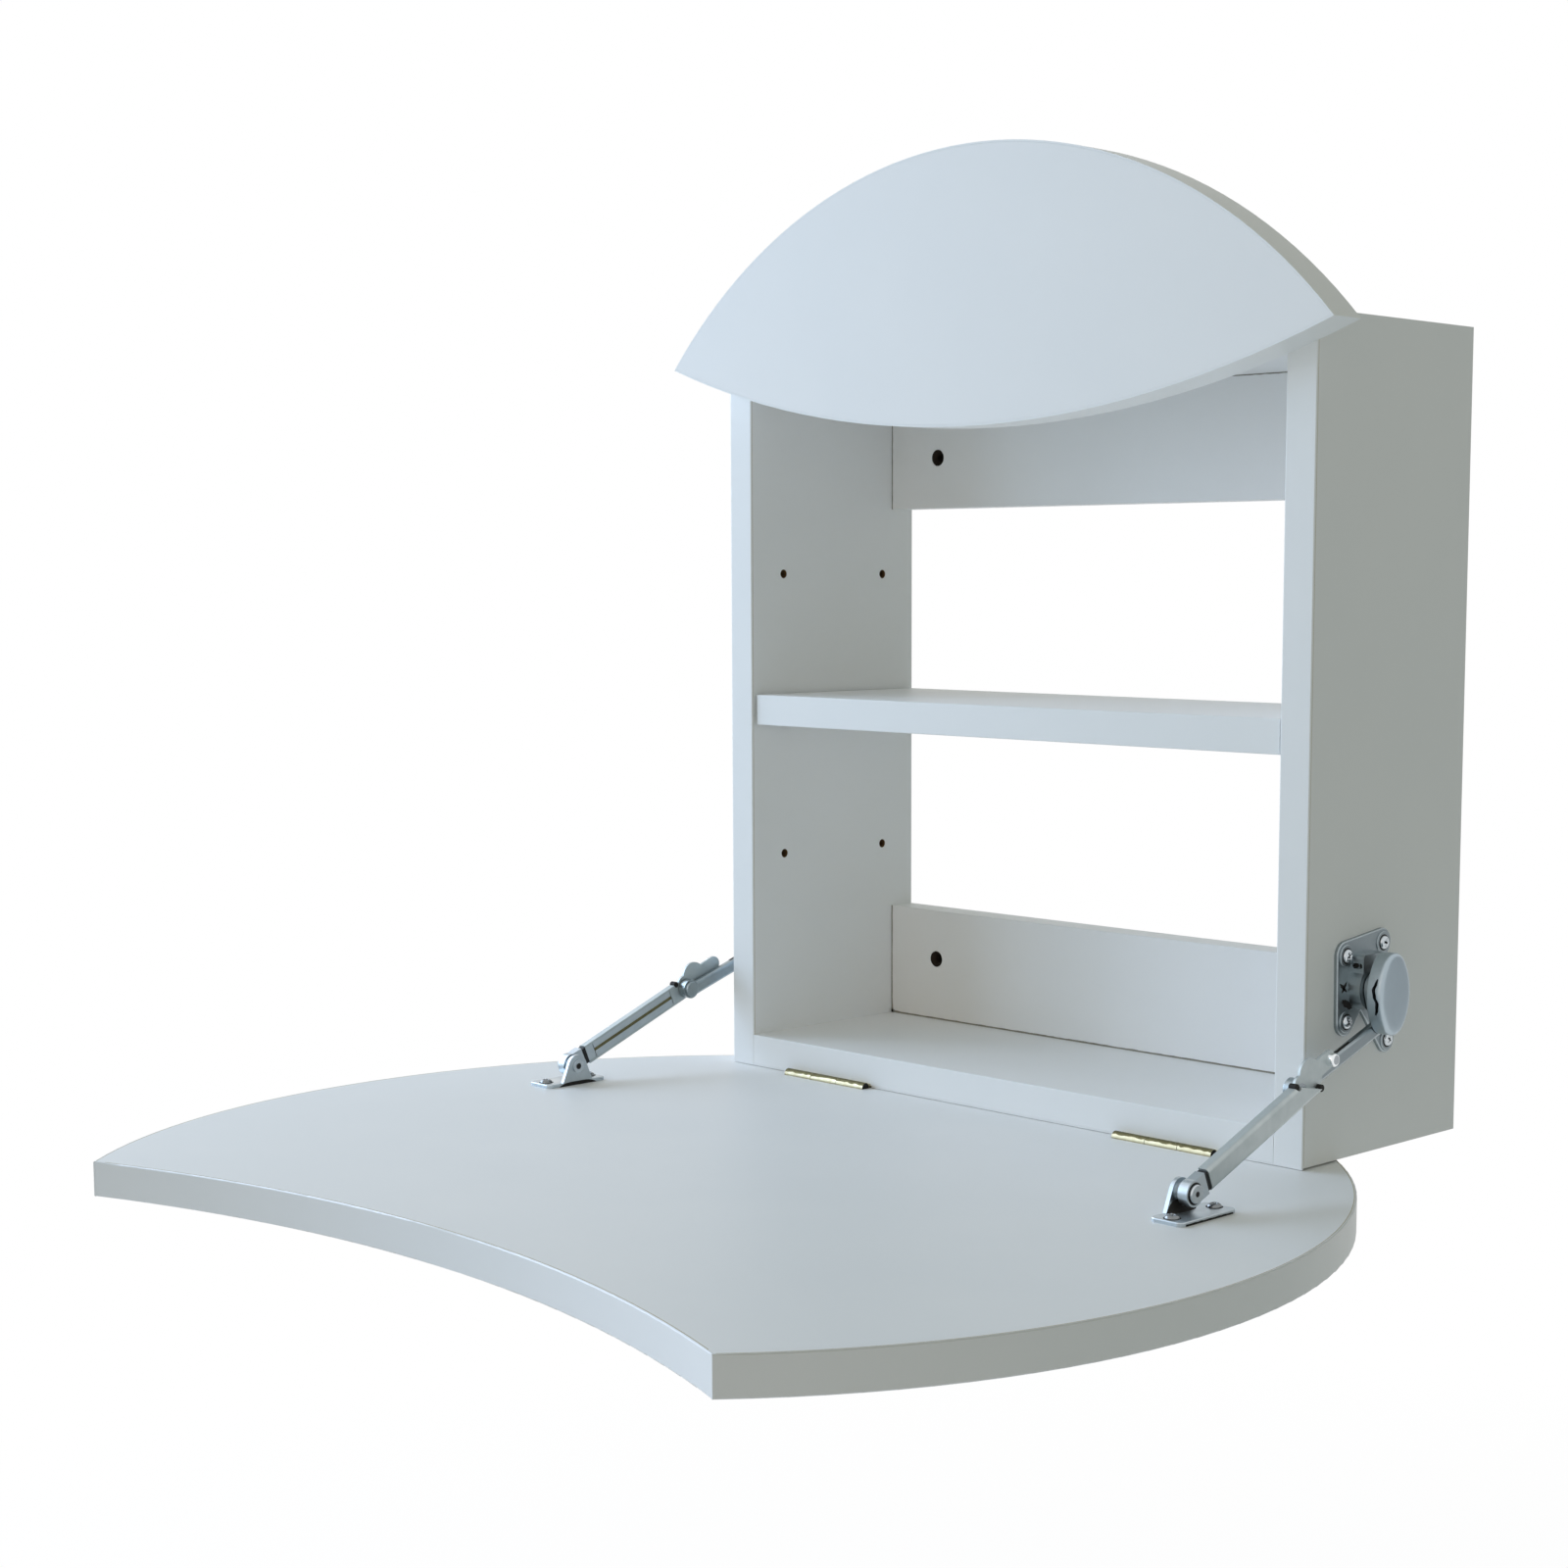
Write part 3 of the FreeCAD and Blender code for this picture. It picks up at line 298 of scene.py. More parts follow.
# wall-screw holes in the two rails: drilled core with a crumbled rim, at the centres of the CAD holes; the core is
# painted brown-black as shade
wallHole = {"x": 146, "z": 147, "faceY": -17, "radius": 3.0, "clear": 0.04, "skin": 0.3, "depth": 16.8,
            "sinkDepth": 2.5, "outerStep": 0.05, "innerStep": 0.2, "rimRadius": 4.72, "rimDepth": 0.3, "rimLift": 0.05,
            "crumbleMm": 0.14, "segments": 40, "seed": 3}
crumble = random.Random(11)
holeBuild = bmesh.new()
holeOuter, holeInner = wallHole["radius"] - wallHole["clear"], wallHole["radius"] - wallHole["skin"]
lathe(holeBuild, [(wallHole["rimRadius"], -wallHole["rimDepth"]),
                  (holeOuter, -wallHole["sinkDepth"] - wallHole["outerStep"]), (holeOuter, -wallHole["depth"]),
                  (holeInner, -wallHole["depth"]), (holeInner, -wallHole["sinkDepth"] - wallHole["innerStep"]),
                  (wallHole["rimRadius"] - wallHole["skin"], wallHole["rimLift"] - wallHole["rimDepth"])],
      wallHole["segments"], closed=True, jitter=lambda: -crumble.random() * wallHole["crumbleMm"])
holePlaces = [(sx * wallHole["x"], wallHole["faceY"], sz * wallHole["z"]) for sx in (-1, 1) for sz in (-1, 1)]
wallHoles = repeatPiece("wallHoleLinings", finishMesh("wallHoleSource", holeBuild, shadeDarkChipboard), holePlaces,
                        [(0, -1, 0)] * 4, wallHole["seed"], shadeDarkChipboard)
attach(wallHoles, "cabinet")

# spare shelf-pin holes, blind, in both sides
pinHole = {"x": 183, "ys": (-105, -25), "z": 80, "radius": 2.5, "clear": 0.03, "skin": 0.2, "depth": 10.8,
           "floorMm": 0.3, "outerTop": 0.2, "innerTop": 0.35, "crumbleMm": 0.06, "segments": 32, "seed": 5}
pinBuild = bmesh.new()
pinOuter, pinInner = pinHole["radius"] - pinHole["clear"], pinHole["radius"] - pinHole["skin"]
pinFloor = -pinHole["depth"] + pinHole["floorMm"]
lathe(pinBuild, [(0, pinFloor), (pinInner, pinFloor), (pinInner, -pinHole["innerTop"]),
                 (pinOuter, -pinHole["outerTop"]), (pinOuter, -pinHole["depth"]), (0, -pinHole["depth"])],
      pinHole["segments"], jitter=lambda: -crumble.random() * pinHole["crumbleMm"])
pinPlaces = [(sx * pinHole["x"], y, sz * pinHole["z"]) for sx in (-1, 1) for y in pinHole["ys"] for sz in (-1, 1)]
pinHoles = repeatPiece("pinHoleLinings", finishMesh("pinHoleSource", pinBuild, chipboard), pinPlaces,
                       [(-place[0] / pinHole["x"], 0, 0) for place in pinPlaces], pinHole["seed"], chipboard)
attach(pinHoles, "cabinet")
print("hole linings made")

# round-head screws of the stays: a domed head with a tapered cross recess and a plain shank; dark fill painted as shade
# lies in the recess and rings the head
roundScrew = {"headRadius": 3.3, "headHeight": 2.0, "domeDeg": (14, 28, 42, 56, 70, 82), "domePower": 0.8, "rim": 0.18,
              "ease": 0.15, "shankRadius": 1.35, "shankLength": 9.0, "tip": 1.0, "segments": 48, "recessReach": 2.25,
              "recessHalf": 0.72, "recessFloor": 0.55, "recessTaper": 0.55, "recessOver": 0.4, "fill": 0.6,
              "fillTaper": 0.69, "fillLap": 0.02, "ringWidth": 0.65, "ringTop": 0.06}
shadeRing = {"lap": 0.1, "sunk": 0.1, "segments": 40}


def makeRoundScrew(spec):
    build = bmesh.new()
    dome = [(spec["headRadius"] * math.sin(a), spec["headHeight"] * math.cos(a) ** spec["domePower"])
            for a in map(math.radians, spec["domeDeg"])]
    lathe(build, [(0, spec["headHeight"]), *dome, (spec["headRadius"], spec["rim"]),
                  (spec["headRadius"] - spec["ease"], 0), (spec["shankRadius"], 0),
                  (spec["shankRadius"], -spec["shankLength"]), (0, -spec["shankLength"] - spec["tip"])],
          spec["segments"])
    head = buildPiece("screwHead", build, pinSteel)
    cutters = []
    for turn in (0, math.pi / 2):
        cut = bmesh.new()
        bmesh.ops.create_cube(cut, size=1.0)
        for vert in cut.verts:
            upper = vert.co.z > 0
            share = 1.0 if upper else spec["recessTaper"]
            vert.co = Vector((vert.co.x * 2 * spec["recessReach"] * share, vert.co.y * 2 * spec["recessHalf"] * share,
                              spec["headHeight"] + spec["recessOver"] if upper else spec["recessFloor"])) * mm
        cut.transform(Matrix.Rotation(turn, 4, "Z"))
        cutter = buildPiece("screwCutter", cut, pinSteel)
        modifier = head.modifiers.new("recess", "BOOLEAN")
        modifier.object = cutter
        modifier.operation = "DIFFERENCE"
        modifier.solver = "EXACT"
        cutters.append(cutter)
    mesh = evaluatedMesh(head)
    for spare in cutters + [head]:
        bpy.data.objects.remove(spare)
    return mesh


def addShadeRing(build, spec):
    inner, outer = spec["headRadius"] - shadeRing["lap"], spec["headRadius"] + spec["ringWidth"]
    lathe(build, [(inner, spec["ringTop"]), (outer - shadeRing["lap"], spec["ringTop"]), (outer, 0),
                  (outer, -shadeRing["sunk"]), (inner, -shadeRing["sunk"])], shadeRing["segments"], closed=True)


def makeRecessShade(spec):
    build = bmesh.new()
    fillTop = spec["recessFloor"] + spec["fill"]
    for reach, half in ((spec["recessReach"], spec["recessHalf"]), (spec["recessHalf"], spec["recessReach"])):
        rows = []
        for share, height in ((spec["recessTaper"], spec["recessFloor"]), (spec["fillTaper"], fillTop)):
            a, b = reach * share + spec["fillLap"], half * share + spec["fillLap"]
            rows.append([Vector((x, y, height)) for x, y in ((-a, -b), (a, -b), (a, b), (-a, b))])
        addBar(build, rows)
    addShadeRing(build, spec)
    return finishMesh("recessShade", build, paintedShadeBlack)


stayScrewPlaces = {"seatX": 202.6, "yz": ((-69.942, -97.4376), (-100.3552, -101.0412), (-99.781, -132.9588),
                                          (-65.0122, -145.4922)), "seed": 7}
stayPlaces = [(side * stayScrewPlaces["seatX"], *place) for side in (-1, 1) for place in stayScrewPlaces["yz"]]
stayAims = [(place[0] / stayScrewPlaces["seatX"], 0, 0) for place in stayPlaces]
stayScrews = repeatPiece("stayScrews", makeRoundScrew(roundScrew), stayPlaces, stayAims, stayScrewPlaces["seed"],
                         pinSteel)
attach(stayScrews, "cabinet")
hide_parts("stay_screws_left", "stay_screws_right")
# dark fill painted as shade in the recesses and round the heads of the stays' screws
stayShade = repeatPiece("stayScrewGrime", makeRecessShade(roundScrew), stayPlaces, stayAims, stayScrewPlaces["seed"],
                        paintedShadeBlack)
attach(stayShade, "cabinet")

# the same screws on the brackets
bracketScrewPlaces = {"x": 219.0, "ys": (-252.3365, -222.3365), "seatZ": -199.0, "seed": 9}
bracketPlaces = [(side * bracketScrewPlaces["x"], y, bracketScrewPlaces["seatZ"]) for side in (-1, 1)
                 for y in bracketScrewPlaces["ys"]]
bracketAims = [(0, 0, 1)] * 4
bracketScrews = repeatPiece("bracketScrews", makeRoundScrew(roundScrew), bracketPlaces, bracketAims,
                            bracketScrewPlaces["seed"], burnishedSteel)
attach(bracketScrews, "leaf")
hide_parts("bracket_screws_left", "bracket_screws_right")
# the same painted shade in the recesses and round the heads of the brackets' screws
bracketShadeMarks = repeatPiece("bracketScrewGrime", makeRecessShade(roundScrew), bracketPlaces, bracketAims,
                           bracketScrewPlaces["seed"], paintedShadeBlack)
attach(bracketShadeMarks, "leaf")
print("screws made")

# damper cap: pressed oval shell with a rolled edge, a low crown and an S-shaped slit in its front wall
damperCap = {"panelX": 200, "axleY": -88.0, "axleZ": -117.0, "drop": 1.8, "halfWide": 12.6, "halfTall": 19.8,
             "endRadius": 9.0, "start": 14.4, "height": 8.0, "edge": 2.0, "crown": 0.3, "wall": 1.5, "weldMm": 0.002,
             "columns": 208, "footRuns": (0, 0.25, 0.9), "underShare": 0.55, "underLift": 0.4,
             "overShares": (0.2, 0.4, 0.6, 0.8, 1.0), "crownShares": (0.85, 0.65, 0.45, 0.25, 0.1),
             "slitRows": (4, 5, 6), "slitHalf": 0.95, "slitLeast": 0.25, "plainMiddle": 4.2,
             "slitPath": ((8.4, 4.9), (6.0, 4.4), (3.2, 3.4), (-0.2, 4.1), (-3.4, 5.5), (-6.3, 5.1), (-9.6, 4.0)),
             "sortLine": (1.0, 31.7, 977.3)}


def ovalPoints(spec):
    rise = spec["halfTall"] - spec["endRadius"]
    wide, end = spec["halfWide"], spec["endRadius"]
    side = (wide ** 2 + rise ** 2 - end ** 2) / (2 * (wide - end))
    bend = math.atan2(rise, side - wide)
    sideRun, endRun = side * bend, end * (math.pi / 2 - bend)
    points = []
    for step in range(spec["columns"]):
        quarter, share = divmod(4 * step / spec["columns"], 1)
        flip = quarter in (1, 3)
        along = (1 - share if flip else share) * (sideRun + endRun)
        if along <= sideRun:
            angle = along / side
            u, v = side * math.cos(angle) - side + wide, side * math.sin(angle)
        else:
            angle = bend + (along - sideRun) / end
            u, v = end * math.cos(angle), rise + end * math.sin(angle)
        normal = Vector((math.cos(angle), math.sin(angle)))
        signs = Vector((-1 if quarter in (1, 2) else 1, -1 if quarter in (2, 3) else 1))
        points.append((Vector((u, v)) * signs, normal * signs))
    return points


def slitCentre(spec, v):
    path = spec["slitPath"]
    if v >= path[0][0]:
        return path[0][1]
    for (v0, s0), (v1, s1) in zip(path, path[1:]):
        if v >= v1:
            share = (v0 - v) / (v0 - v1)
            return s0 + (s1 - s0) * (1 - math.cos(math.pi * share)) / 2
    return path[-1][1]


def makeDamperCap(spec, side):
    build = bmesh.new()
    wallRun = spec["height"] - spec["edge"]
    last = wallRun + math.pi / 2 * spec["edge"]
    top, foot = spec["slitPath"][0][0], spec["slitPath"][-1][0]
    grid, slitColumn = [], []
    for place, normal in ovalPoints(spec):
        front = place.x < 0 and foot < place.y < top
        middle = slitCentre(spec, place.y) if place.x < 0 else spec["plainMiddle"]
        fromMiddle = (2 * place.y - top - foot) / (top - foot)
        openShare = math.sqrt(max(0, 1 - fromMiddle ** 4)) if front else 0
        half = max(spec["slitLeast"], spec["slitHalf"] * openShare)
        slitColumn.append(front)
        runs = [*spec["footRuns"], (middle - half) * spec["underShare"] + spec["underLift"],
                middle - half, middle - half / 3, middle + half / 3, middle + half]
        runs += [middle + half + (last - middle - half) * share for share in spec["overShares"]]
        column = []
        for run in runs:
            if run <= wallRun:
                inset, up = 0, run
            else:
                angle = (run - wallRun) / spec["edge"]
                inset, up = spec["edge"] * (1 - math.cos(angle)), wallRun + spec["edge"] * math.sin(angle)
            column.append((place - normal * inset, up))
        for share in spec["crownShares"]:
            column.append(((place - normal * spec["edge"]) * share, spec["height"] + spec["crown"] * (1 - share ** 2)))
        column.append((Vector((0, 0)), spec["height"] + spec["crown"]))
        grid.append([build.verts.new((side * (spec["panelX"] + spec["start"] + up) * mm, (spec["axleY"] + at.x) * mm,
                                      (spec["axleZ"] - spec["drop"] + at.y) * mm)) for at, up in column])
    for index in range(len(grid)):
        after = (index + 1) % len(grid)
        for row in range(len(grid[0]) - 1):
            if slitColumn[index] and slitColumn[after] and row in spec["slitRows"]:
                continue
            build.faces.new((grid[index][row], grid[after][row], grid[after][row + 1], grid[index][row + 1]))
    bmesh.ops.remove_doubles(build, verts=build.verts, dist=spec["weldMm"] * mm)
    bmesh.ops.recalc_face_normals(build, faces=build.faces)
    topFace = max(build.faces, key=lambda face: side * face.calc_center_median().x)
    if topFace.normal.x * side < 0:
        bmesh.ops.reverse_faces(build, faces=build.faces)
    bmesh.ops.solidify(build, geom=build.faces[:], thickness=spec["wall"] * mm)
    # the faces of the rims come in any order, so all are sorted along a skew line to be the same each run
    build.faces.sort(key=lambda face: face.calc_center_median().dot(Vector(spec["sortLine"])))
    return build


for side, label in sides:
    cap = buildPiece("damperCap_" + label, makeDamperCap(damperCap, side), satinNickel)
    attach(cap, "cabinet")
    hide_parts("damper_cap_" + label)
print("damper caps made")

# the eye of each arm and the turn of the arm about it
armEye = {"y": -237.3365, "z": -190.6, "turnDeg": 22.0871}
turnCos, turnSin = math.cos(math.radians(armEye["turnDeg"])), math.sin(math.radians(armEye["turnDeg"]))


def armPoint(side, along, across, level):
    return Vector((side * level, armEye["y"] + along * turnCos - across * turnSin,
                   armEye["z"] + along * turnSin + across * turnCos))


# pivot pins of the arms: a dark ring painted as shade round each head and a dark spot painted as shade on its top
pivotHead = {"eyeX": 219.8, "headRadius": 4.3, "ringWidth": 0.8, "ringTop": 0.05, "headTop": 1.45, "dimpleRadius": 1.3,
             "dimpleFlat": 0.6, "flatProud": 0.02, "rimProud": 0.04, "dimpleFoot": 1.3, "segments": 32, "seed": 13}
pivotBuild = bmesh.new()
addShadeRing(pivotBuild, pivotHead)
lathe(pivotBuild, [(0, pivotHead["headTop"] + pivotHead["flatProud"]),
                   (pivotHead["dimpleRadius"] * pivotHead["dimpleFlat"], pivotHead["headTop"] + pivotHead["flatProud"]),
                   (pivotHead["dimpleRadius"], pivotHead["headTop"] + pivotHead["rimProud"]),
                   (pivotHead["dimpleRadius"], pivotHead["dimpleFoot"]), (0, pivotHead["dimpleFoot"])],
      pivotHead["segments"])
pivotShade = repeatPiece("pivotHeadGrease", finishMesh("pivotHeadSource", pivotBuild, paintedShadeBlack),
                          [(side * pivotHead["eyeX"], armEye["y"], armEye["z"]) for side in (-1, 1)],
                          [(-1, 0, 0), (1, 0, 0)], pivotHead["seed"], paintedShadeBlack)
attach(pivotShade, "leaf")

# two dark spots painted as shade at the bottom of the oval recess in each stay's block
recessShadeSpot = {"x": 205.55, "apart": 2.9, "floorY": -94.4, "z": -106.0, "radius": 1.2, "height": 0.5, "ease": 0.2,
              "sunk": 0.1, "segments": 28, "seed": 15}
spotBuild = bmesh.new()
lathe(spotBuild, [(0, recessShadeSpot["height"]), (recessShadeSpot["radius"] - recessShadeSpot["ease"], recessShadeSpot["height"]),
                  (recessShadeSpot["radius"], recessShadeSpot["height"] - recessShadeSpot["ease"]),
                  (recessShadeSpot["radius"], -recessShadeSpot["sunk"]), (0, -recessShadeSpot["sunk"])], recessShadeSpot["segments"])
spotPlaces = [(side * recessShadeSpot["x"] + offset * recessShadeSpot["apart"] / 2, recessShadeSpot["floorY"], recessShadeSpot["z"])
              for side in (-1, 1) for offset in (-1, 1)]
recessStops = repeatPiece("recessStops", finishMesh("recessShadeSpotSource", spotBuild, paintedShadeBlack), spotPlaces,
                          [(0, -1, 0)] * 4, recessShadeSpot["seed"], paintedShadeBlack)
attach(recessStops, "cabinet")

# a black block painted as shade round the tongue, in the slot between each arm and its eye, crowned and recessed below
# the arm's face
slotShadeBlock = {"from": 9.05, "to": 11.55, "half": 4.5, "low": 214.62, "high": 219.3, "crown": 0.15, "ease": 0.3,
             "steps": 6}
half, ease = slotShadeBlock["half"], slotShadeBlock["ease"]
for side, label in sides:
    shadeBlockBuild = bmesh.new()
    shadeBlockRows = []
    for step in range(slotShadeBlock["steps"] + 1):
        share = step / slotShadeBlock["steps"]
        along = slotShadeBlock["from"] + (slotShadeBlock["to"] - slotShadeBlock["from"]) * share
        top = slotShadeBlock["high"] + slotShadeBlock["crown"] * math.sin(math.pi * share)
        shadeBlockRows.append([armPoint(side, along, across, level)
                         for across, level in ((-half, slotShadeBlock["low"]), (-half, top - ease), (ease - half, top),
                                               (half - ease, top), (half, top - ease), (half, slotShadeBlock["low"]))])
    addBar(shadeBlockBuild, shadeBlockRows)
    shadeBlock = buildPiece("slideBush_" + label, shadeBlockBuild, blackMoulding)
    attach(shadeBlock, "arm_" + label)

# lips rolled inwards on the cabinet side of each arm, which leave a narrow slot along its channel; an olive strip in
# the slot is painted shade
armLips = {"from": 17.3, "to": 78.2, "edge": 4.25, "slot": (-0.8, 1.0), "low": 214.58, "thick": 0.5, "round": 0.16,
           "stripLap": 0.3, "stripSag": 0.2}
lipEnds, lipRound = (armLips["from"], armLips["to"]), armLips["round"]
lipLow, lipHigh = armLips["low"], armLips["low"] + armLips["thick"]
stripFrom, stripTo = armLips["slot"][0] - armLips["stripLap"], armLips["slot"][1] + armLips["stripLap"]
stripHigh = lipHigh + armLips["stripLap"]
strip = ((stripFrom, stripHigh), (stripFrom, lipHigh), (0.0, lipHigh - armLips["stripSag"]), (stripTo, lipHigh),
        (stripTo, stripHigh))
for side, label in sides:
    lipsBuild, stripBuild = bmesh.new(), bmesh.new()
    for inner, outer in ((armLips["slot"][1], armLips["edge"]), (armLips["slot"][0], -armLips["edge"])):
        toSlot = math.copysign(lipRound, inner - outer)
        profile = ((outer, lipLow), (inner - toSlot, lipLow), (inner, lipLow + lipRound), (inner, lipHigh - lipRound),
                   (inner - toSlot, lipHigh), (outer, lipHigh))
        addBar(lipsBuild, [[armPoint(side, along, *corner) for corner in profile] for along in lipEnds])
    addBar(stripBuild, [[armPoint(side, along, *corner) for corner in strip] for along in lipEnds])
    lips = buildPiece("armLips_" + label, lipsBuild, staySteel)
    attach(lips, "arm_" + label)
    slotShadeStrip = buildPiece("slotFilm_" + label, stripBuild, shadeOliveBrass)
    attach(slotShadeStrip, "arm_" + label)

# dark plugs painted as shade in the two notches at the step of each arm
armNotch = {"places": ((84.5, 5.0), (101.5, -5.0)), "radius": 1.72, "low": 214.47, "high": 218.6, "bevel": 0.2,
            "segments": 28}
for side, label in sides:
    notchBuild = bmesh.new()
    for along, across in armNotch["places"]:
        rows = []
        for level, shrink in ((armNotch["low"], armNotch["bevel"]), (armNotch["low"] + armNotch["bevel"], 0),
                              (armNotch["high"] - armNotch["bevel"], 0), (armNotch["high"], armNotch["bevel"])):
            rows.append([armPoint(side, along + u, across + v, level)
                         for u, v in circle(armNotch["radius"] - shrink, armNotch["segments"])])
        addBar(notchBuild, rows)
    notch = buildPiece("notchGrease_" + label, notchBuild, paintedShadeBlack)
    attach(notch, "arm_" + label)

# dark marks painted as shade on each bracket: under its bend, on the end of its pin, in the corner behind the eye and
# along its outer edge
bracketShade = {
    "bend": {"x": 209.94, "half": 13.0, "foot": -200.98, "least": 0.1, "height": 2.0, "depth": 0.6, "steps": 24},
    "tail": {"x": 209.0, "radius": 1.7, "bevel": 0.25, "proud": 0.04, "sunk": 0.2, "segments": 28},
    "corner": {"x": 212.0, "z": -199.0, "half": 10.0, "reach": 3.8, "height": 5.4, "least": 0.15, "hollow": 0.35,
               "lapX": 0.1, "lapZ": 0.05, "steps": 16},
    "edge": {"x": 228.0, "half": 16.8, "foot": -200.98, "top": -199.95, "ragged": 0.25, "proud": 0.04, "sunk": 0.2,
             "steps": 16}}
shadeMark = random.Random(41)


def acrossBracket(spec):
    shares = [2 * step / spec["steps"] - 1 for step in range(spec["steps"] + 1)]
    return [(armEye["y"] + share * spec["half"], 1 - share ** 4) for share in shares]


def addBendShade(build, spec, side):
    rows = []
    near, far = spec["x"], spec["x"] + spec["depth"]
    for y, fade in acrossBracket(spec):
        top = spec["foot"] + spec["least"] + spec["height"] * fade
        rows.append([Vector((side * x, y, z))
                     for x, z in ((near, spec["foot"]), (near, top), (far, top), (far, spec["foot"]))])
    addBar(build, rows)


def addTailShade(build, spec, side):
    levels = ((spec["x"] - spec["proud"], spec["bevel"]), (spec["x"], 0), (spec["x"] + spec["sunk"], 0))
    addBar(build, [[Vector((side * level, armEye["y"] + u, armEye["z"] + v))
                    for u, v in circle(spec["radius"] - shrink, spec["segments"])] for level, shrink in levels])


def addCornerShade(build, spec, side):
    rows = []
    for y, fade in acrossBracket(spec):
        reach, height = spec["least"] + spec["reach"] * fade, spec["least"] + spec["height"] * fade
        rows.append([Vector((side * (spec["x"] + x), y, spec["z"] + z))
                     for x, z in ((-spec["lapX"], -spec["lapZ"]), (reach, -spec["lapZ"]),
                                  (reach * spec["hollow"], height * spec["hollow"]), (-spec["lapX"], height))])
    addBar(build, rows)


def addEdgeShade(build, spec, side):
    pairs = [[Vector((side * spec["x"], y, z)) for z in (spec["foot"], spec["top"] - shadeMark.random() * spec["ragged"])]
             for y, _ in acrossBracket(spec)]
    addRibbon(build, pairs, (side, 0, 0), spec["proud"], spec["sunk"])


gapBuild = bmesh.new()
for side in (-1, 1):
    addBendShade(gapBuild, bracketShade["bend"], side)
    addTailShade(gapBuild, bracketShade["tail"], side)
    addCornerShade(gapBuild, bracketShade["corner"], side)
    addEdgeShade(gapBuild, bracketShade["edge"], side)
gaps = buildPiece("bracketGapGrease", gapBuild, paintedShadeBlack)
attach(gaps, "leaf")

# dark patches painted as shade on the pressed base in front of the cap
baseShade = {"x": 202.0, "proud": 0.12, "sunk": 0.1, "ragged": 0.3, "steps": 24,
             # middle of each patch in y and z, half its length, half its width, tilt in degrees
             "patches": (((-102.2, -116.3), 4.2, 1.0, -38), ((-101.4, -116.1), 3.5, 0.95, 52),
                         ((-99.0, -124.6), 5.2, 2.0, -28))}
shadeMarkBuild = bmesh.new()
for side in (-1, 1):
    for (y, z), halfLong, halfWide, tilt in baseShade["patches"]:
        turned = Matrix.Rotation(math.radians(tilt), 2)
        outline = []
        for step in range(baseShade["steps"]):
            angle = math.tau * step / baseShade["steps"]
            reach = 1 - shadeMark.random() * baseShade["ragged"]
            spot = turned @ Vector((halfLong * math.cos(angle), halfWide * math.sin(angle)))
            outline.append((y + reach * spot.x, z + reach * spot.y))
        addBar(shadeMarkBuild, [[Vector((side * level, *point)) for point in outline]
                            for level in (baseShade["x"] - baseShade["sunk"], baseShade["x"] + baseShade["proud"])])
shadeMarks = buildPiece("baseSmears", shadeMarkBuild, paintedShadeBlack)
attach(shadeMarks, "cabinet")

# a dark line painted along the top of each crank as a dark reflection
crankLine = {"xs": (211.0, 213.0), "from": (-102.0, -136.86), "to": (-122.0, -143.52), "outwards": (0, -0.316, 0.949),
             "proud": 0.05, "sunk": 0.3, "steps": 10, "ragged": 0.5}
lineFrom, lineTo = Vector((0, *crankLine["from"])), Vector((0, *crankLine["to"]))
for side, label in sides:
    lineBuild = bmesh.new()
    pairs = []
    for step in range(crankLine["steps"] + 1):
        place = lineFrom.lerp(lineTo, step / crankLine["steps"])
        nearX, farX = crankLine["xs"][0] + shadeMark.random() * crankLine["ragged"], crankLine["xs"][1]
        pairs.append((place + Vector((side * nearX, 0, 0)), place + Vector((side * farX, 0, 0))))
    addRibbon(lineBuild, pairs, crankLine["outwards"], crankLine["proud"], crankLine["sunk"])
    line = buildPiece("crankGrease_" + label, lineBuild, paintedShadeBlack)
    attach(line, "crank_" + label)
print("stay details made")

# hinge barrels: dark olive skin painted as shade on the upper side of each knuckle, with a wavering edge
hingeShadeSkin = {"centreX": 119.5, "y": -133.5, "z": -200.5, "radius": 2.75, "proud": 0.06, "sunk": 0.1, "fromDeg": 36,
             "toDeg": 118, "waverDeg": 9, "stepMm": 2.0, "arcSteps": 8, "fixed": ((-30.95, -10.4), (10.4, 30.95)),
             "moving": ((-9.98, 9.98),)}
waver = random.Random(31)


def addKnuckleShade(build, spec, start, end):
    count = int((end - start) / spec["stepMm"])
    outer, inner = spec["radius"] + spec["proud"], spec["radius"] - spec["sunk"]
    rows = []
    for step in range(count + 1):
        low = spec["fromDeg"] + waver.uniform(-1, 1) * spec["waverDeg"]
        angles = [math.radians(low + (spec["toDeg"] - low) * share / spec["arcSteps"])
                  for share in range(spec["arcSteps"] + 1)]
        rim = [(outer, a) for a in angles] + [(inner, a) for a in angles[::-1]]
        x = start + (end - start) * step / count
        rows.append([Vector((x, spec["y"] - reach * math.cos(a), spec["z"] + reach * math.sin(a))) for reach, a in rim])
    addBar(build, rows)


for name, spans, body in (("hingeSkinFixed", "fixed", "cabinet"), ("hingeSkinMoving", "moving", "leaf")):
    skinBuild = bmesh.new()
    for side in (-1, 1):
        for start, end in hingeShadeSkin[spans]:
            addKnuckleShade(skinBuild, hingeShadeSkin, side * hingeShadeSkin["centreX"] + start, side * hingeShadeSkin["centreX"] + end)
    skin = buildPiece(name, skinBuild, shadeOliveBrass)
    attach(skin, body)

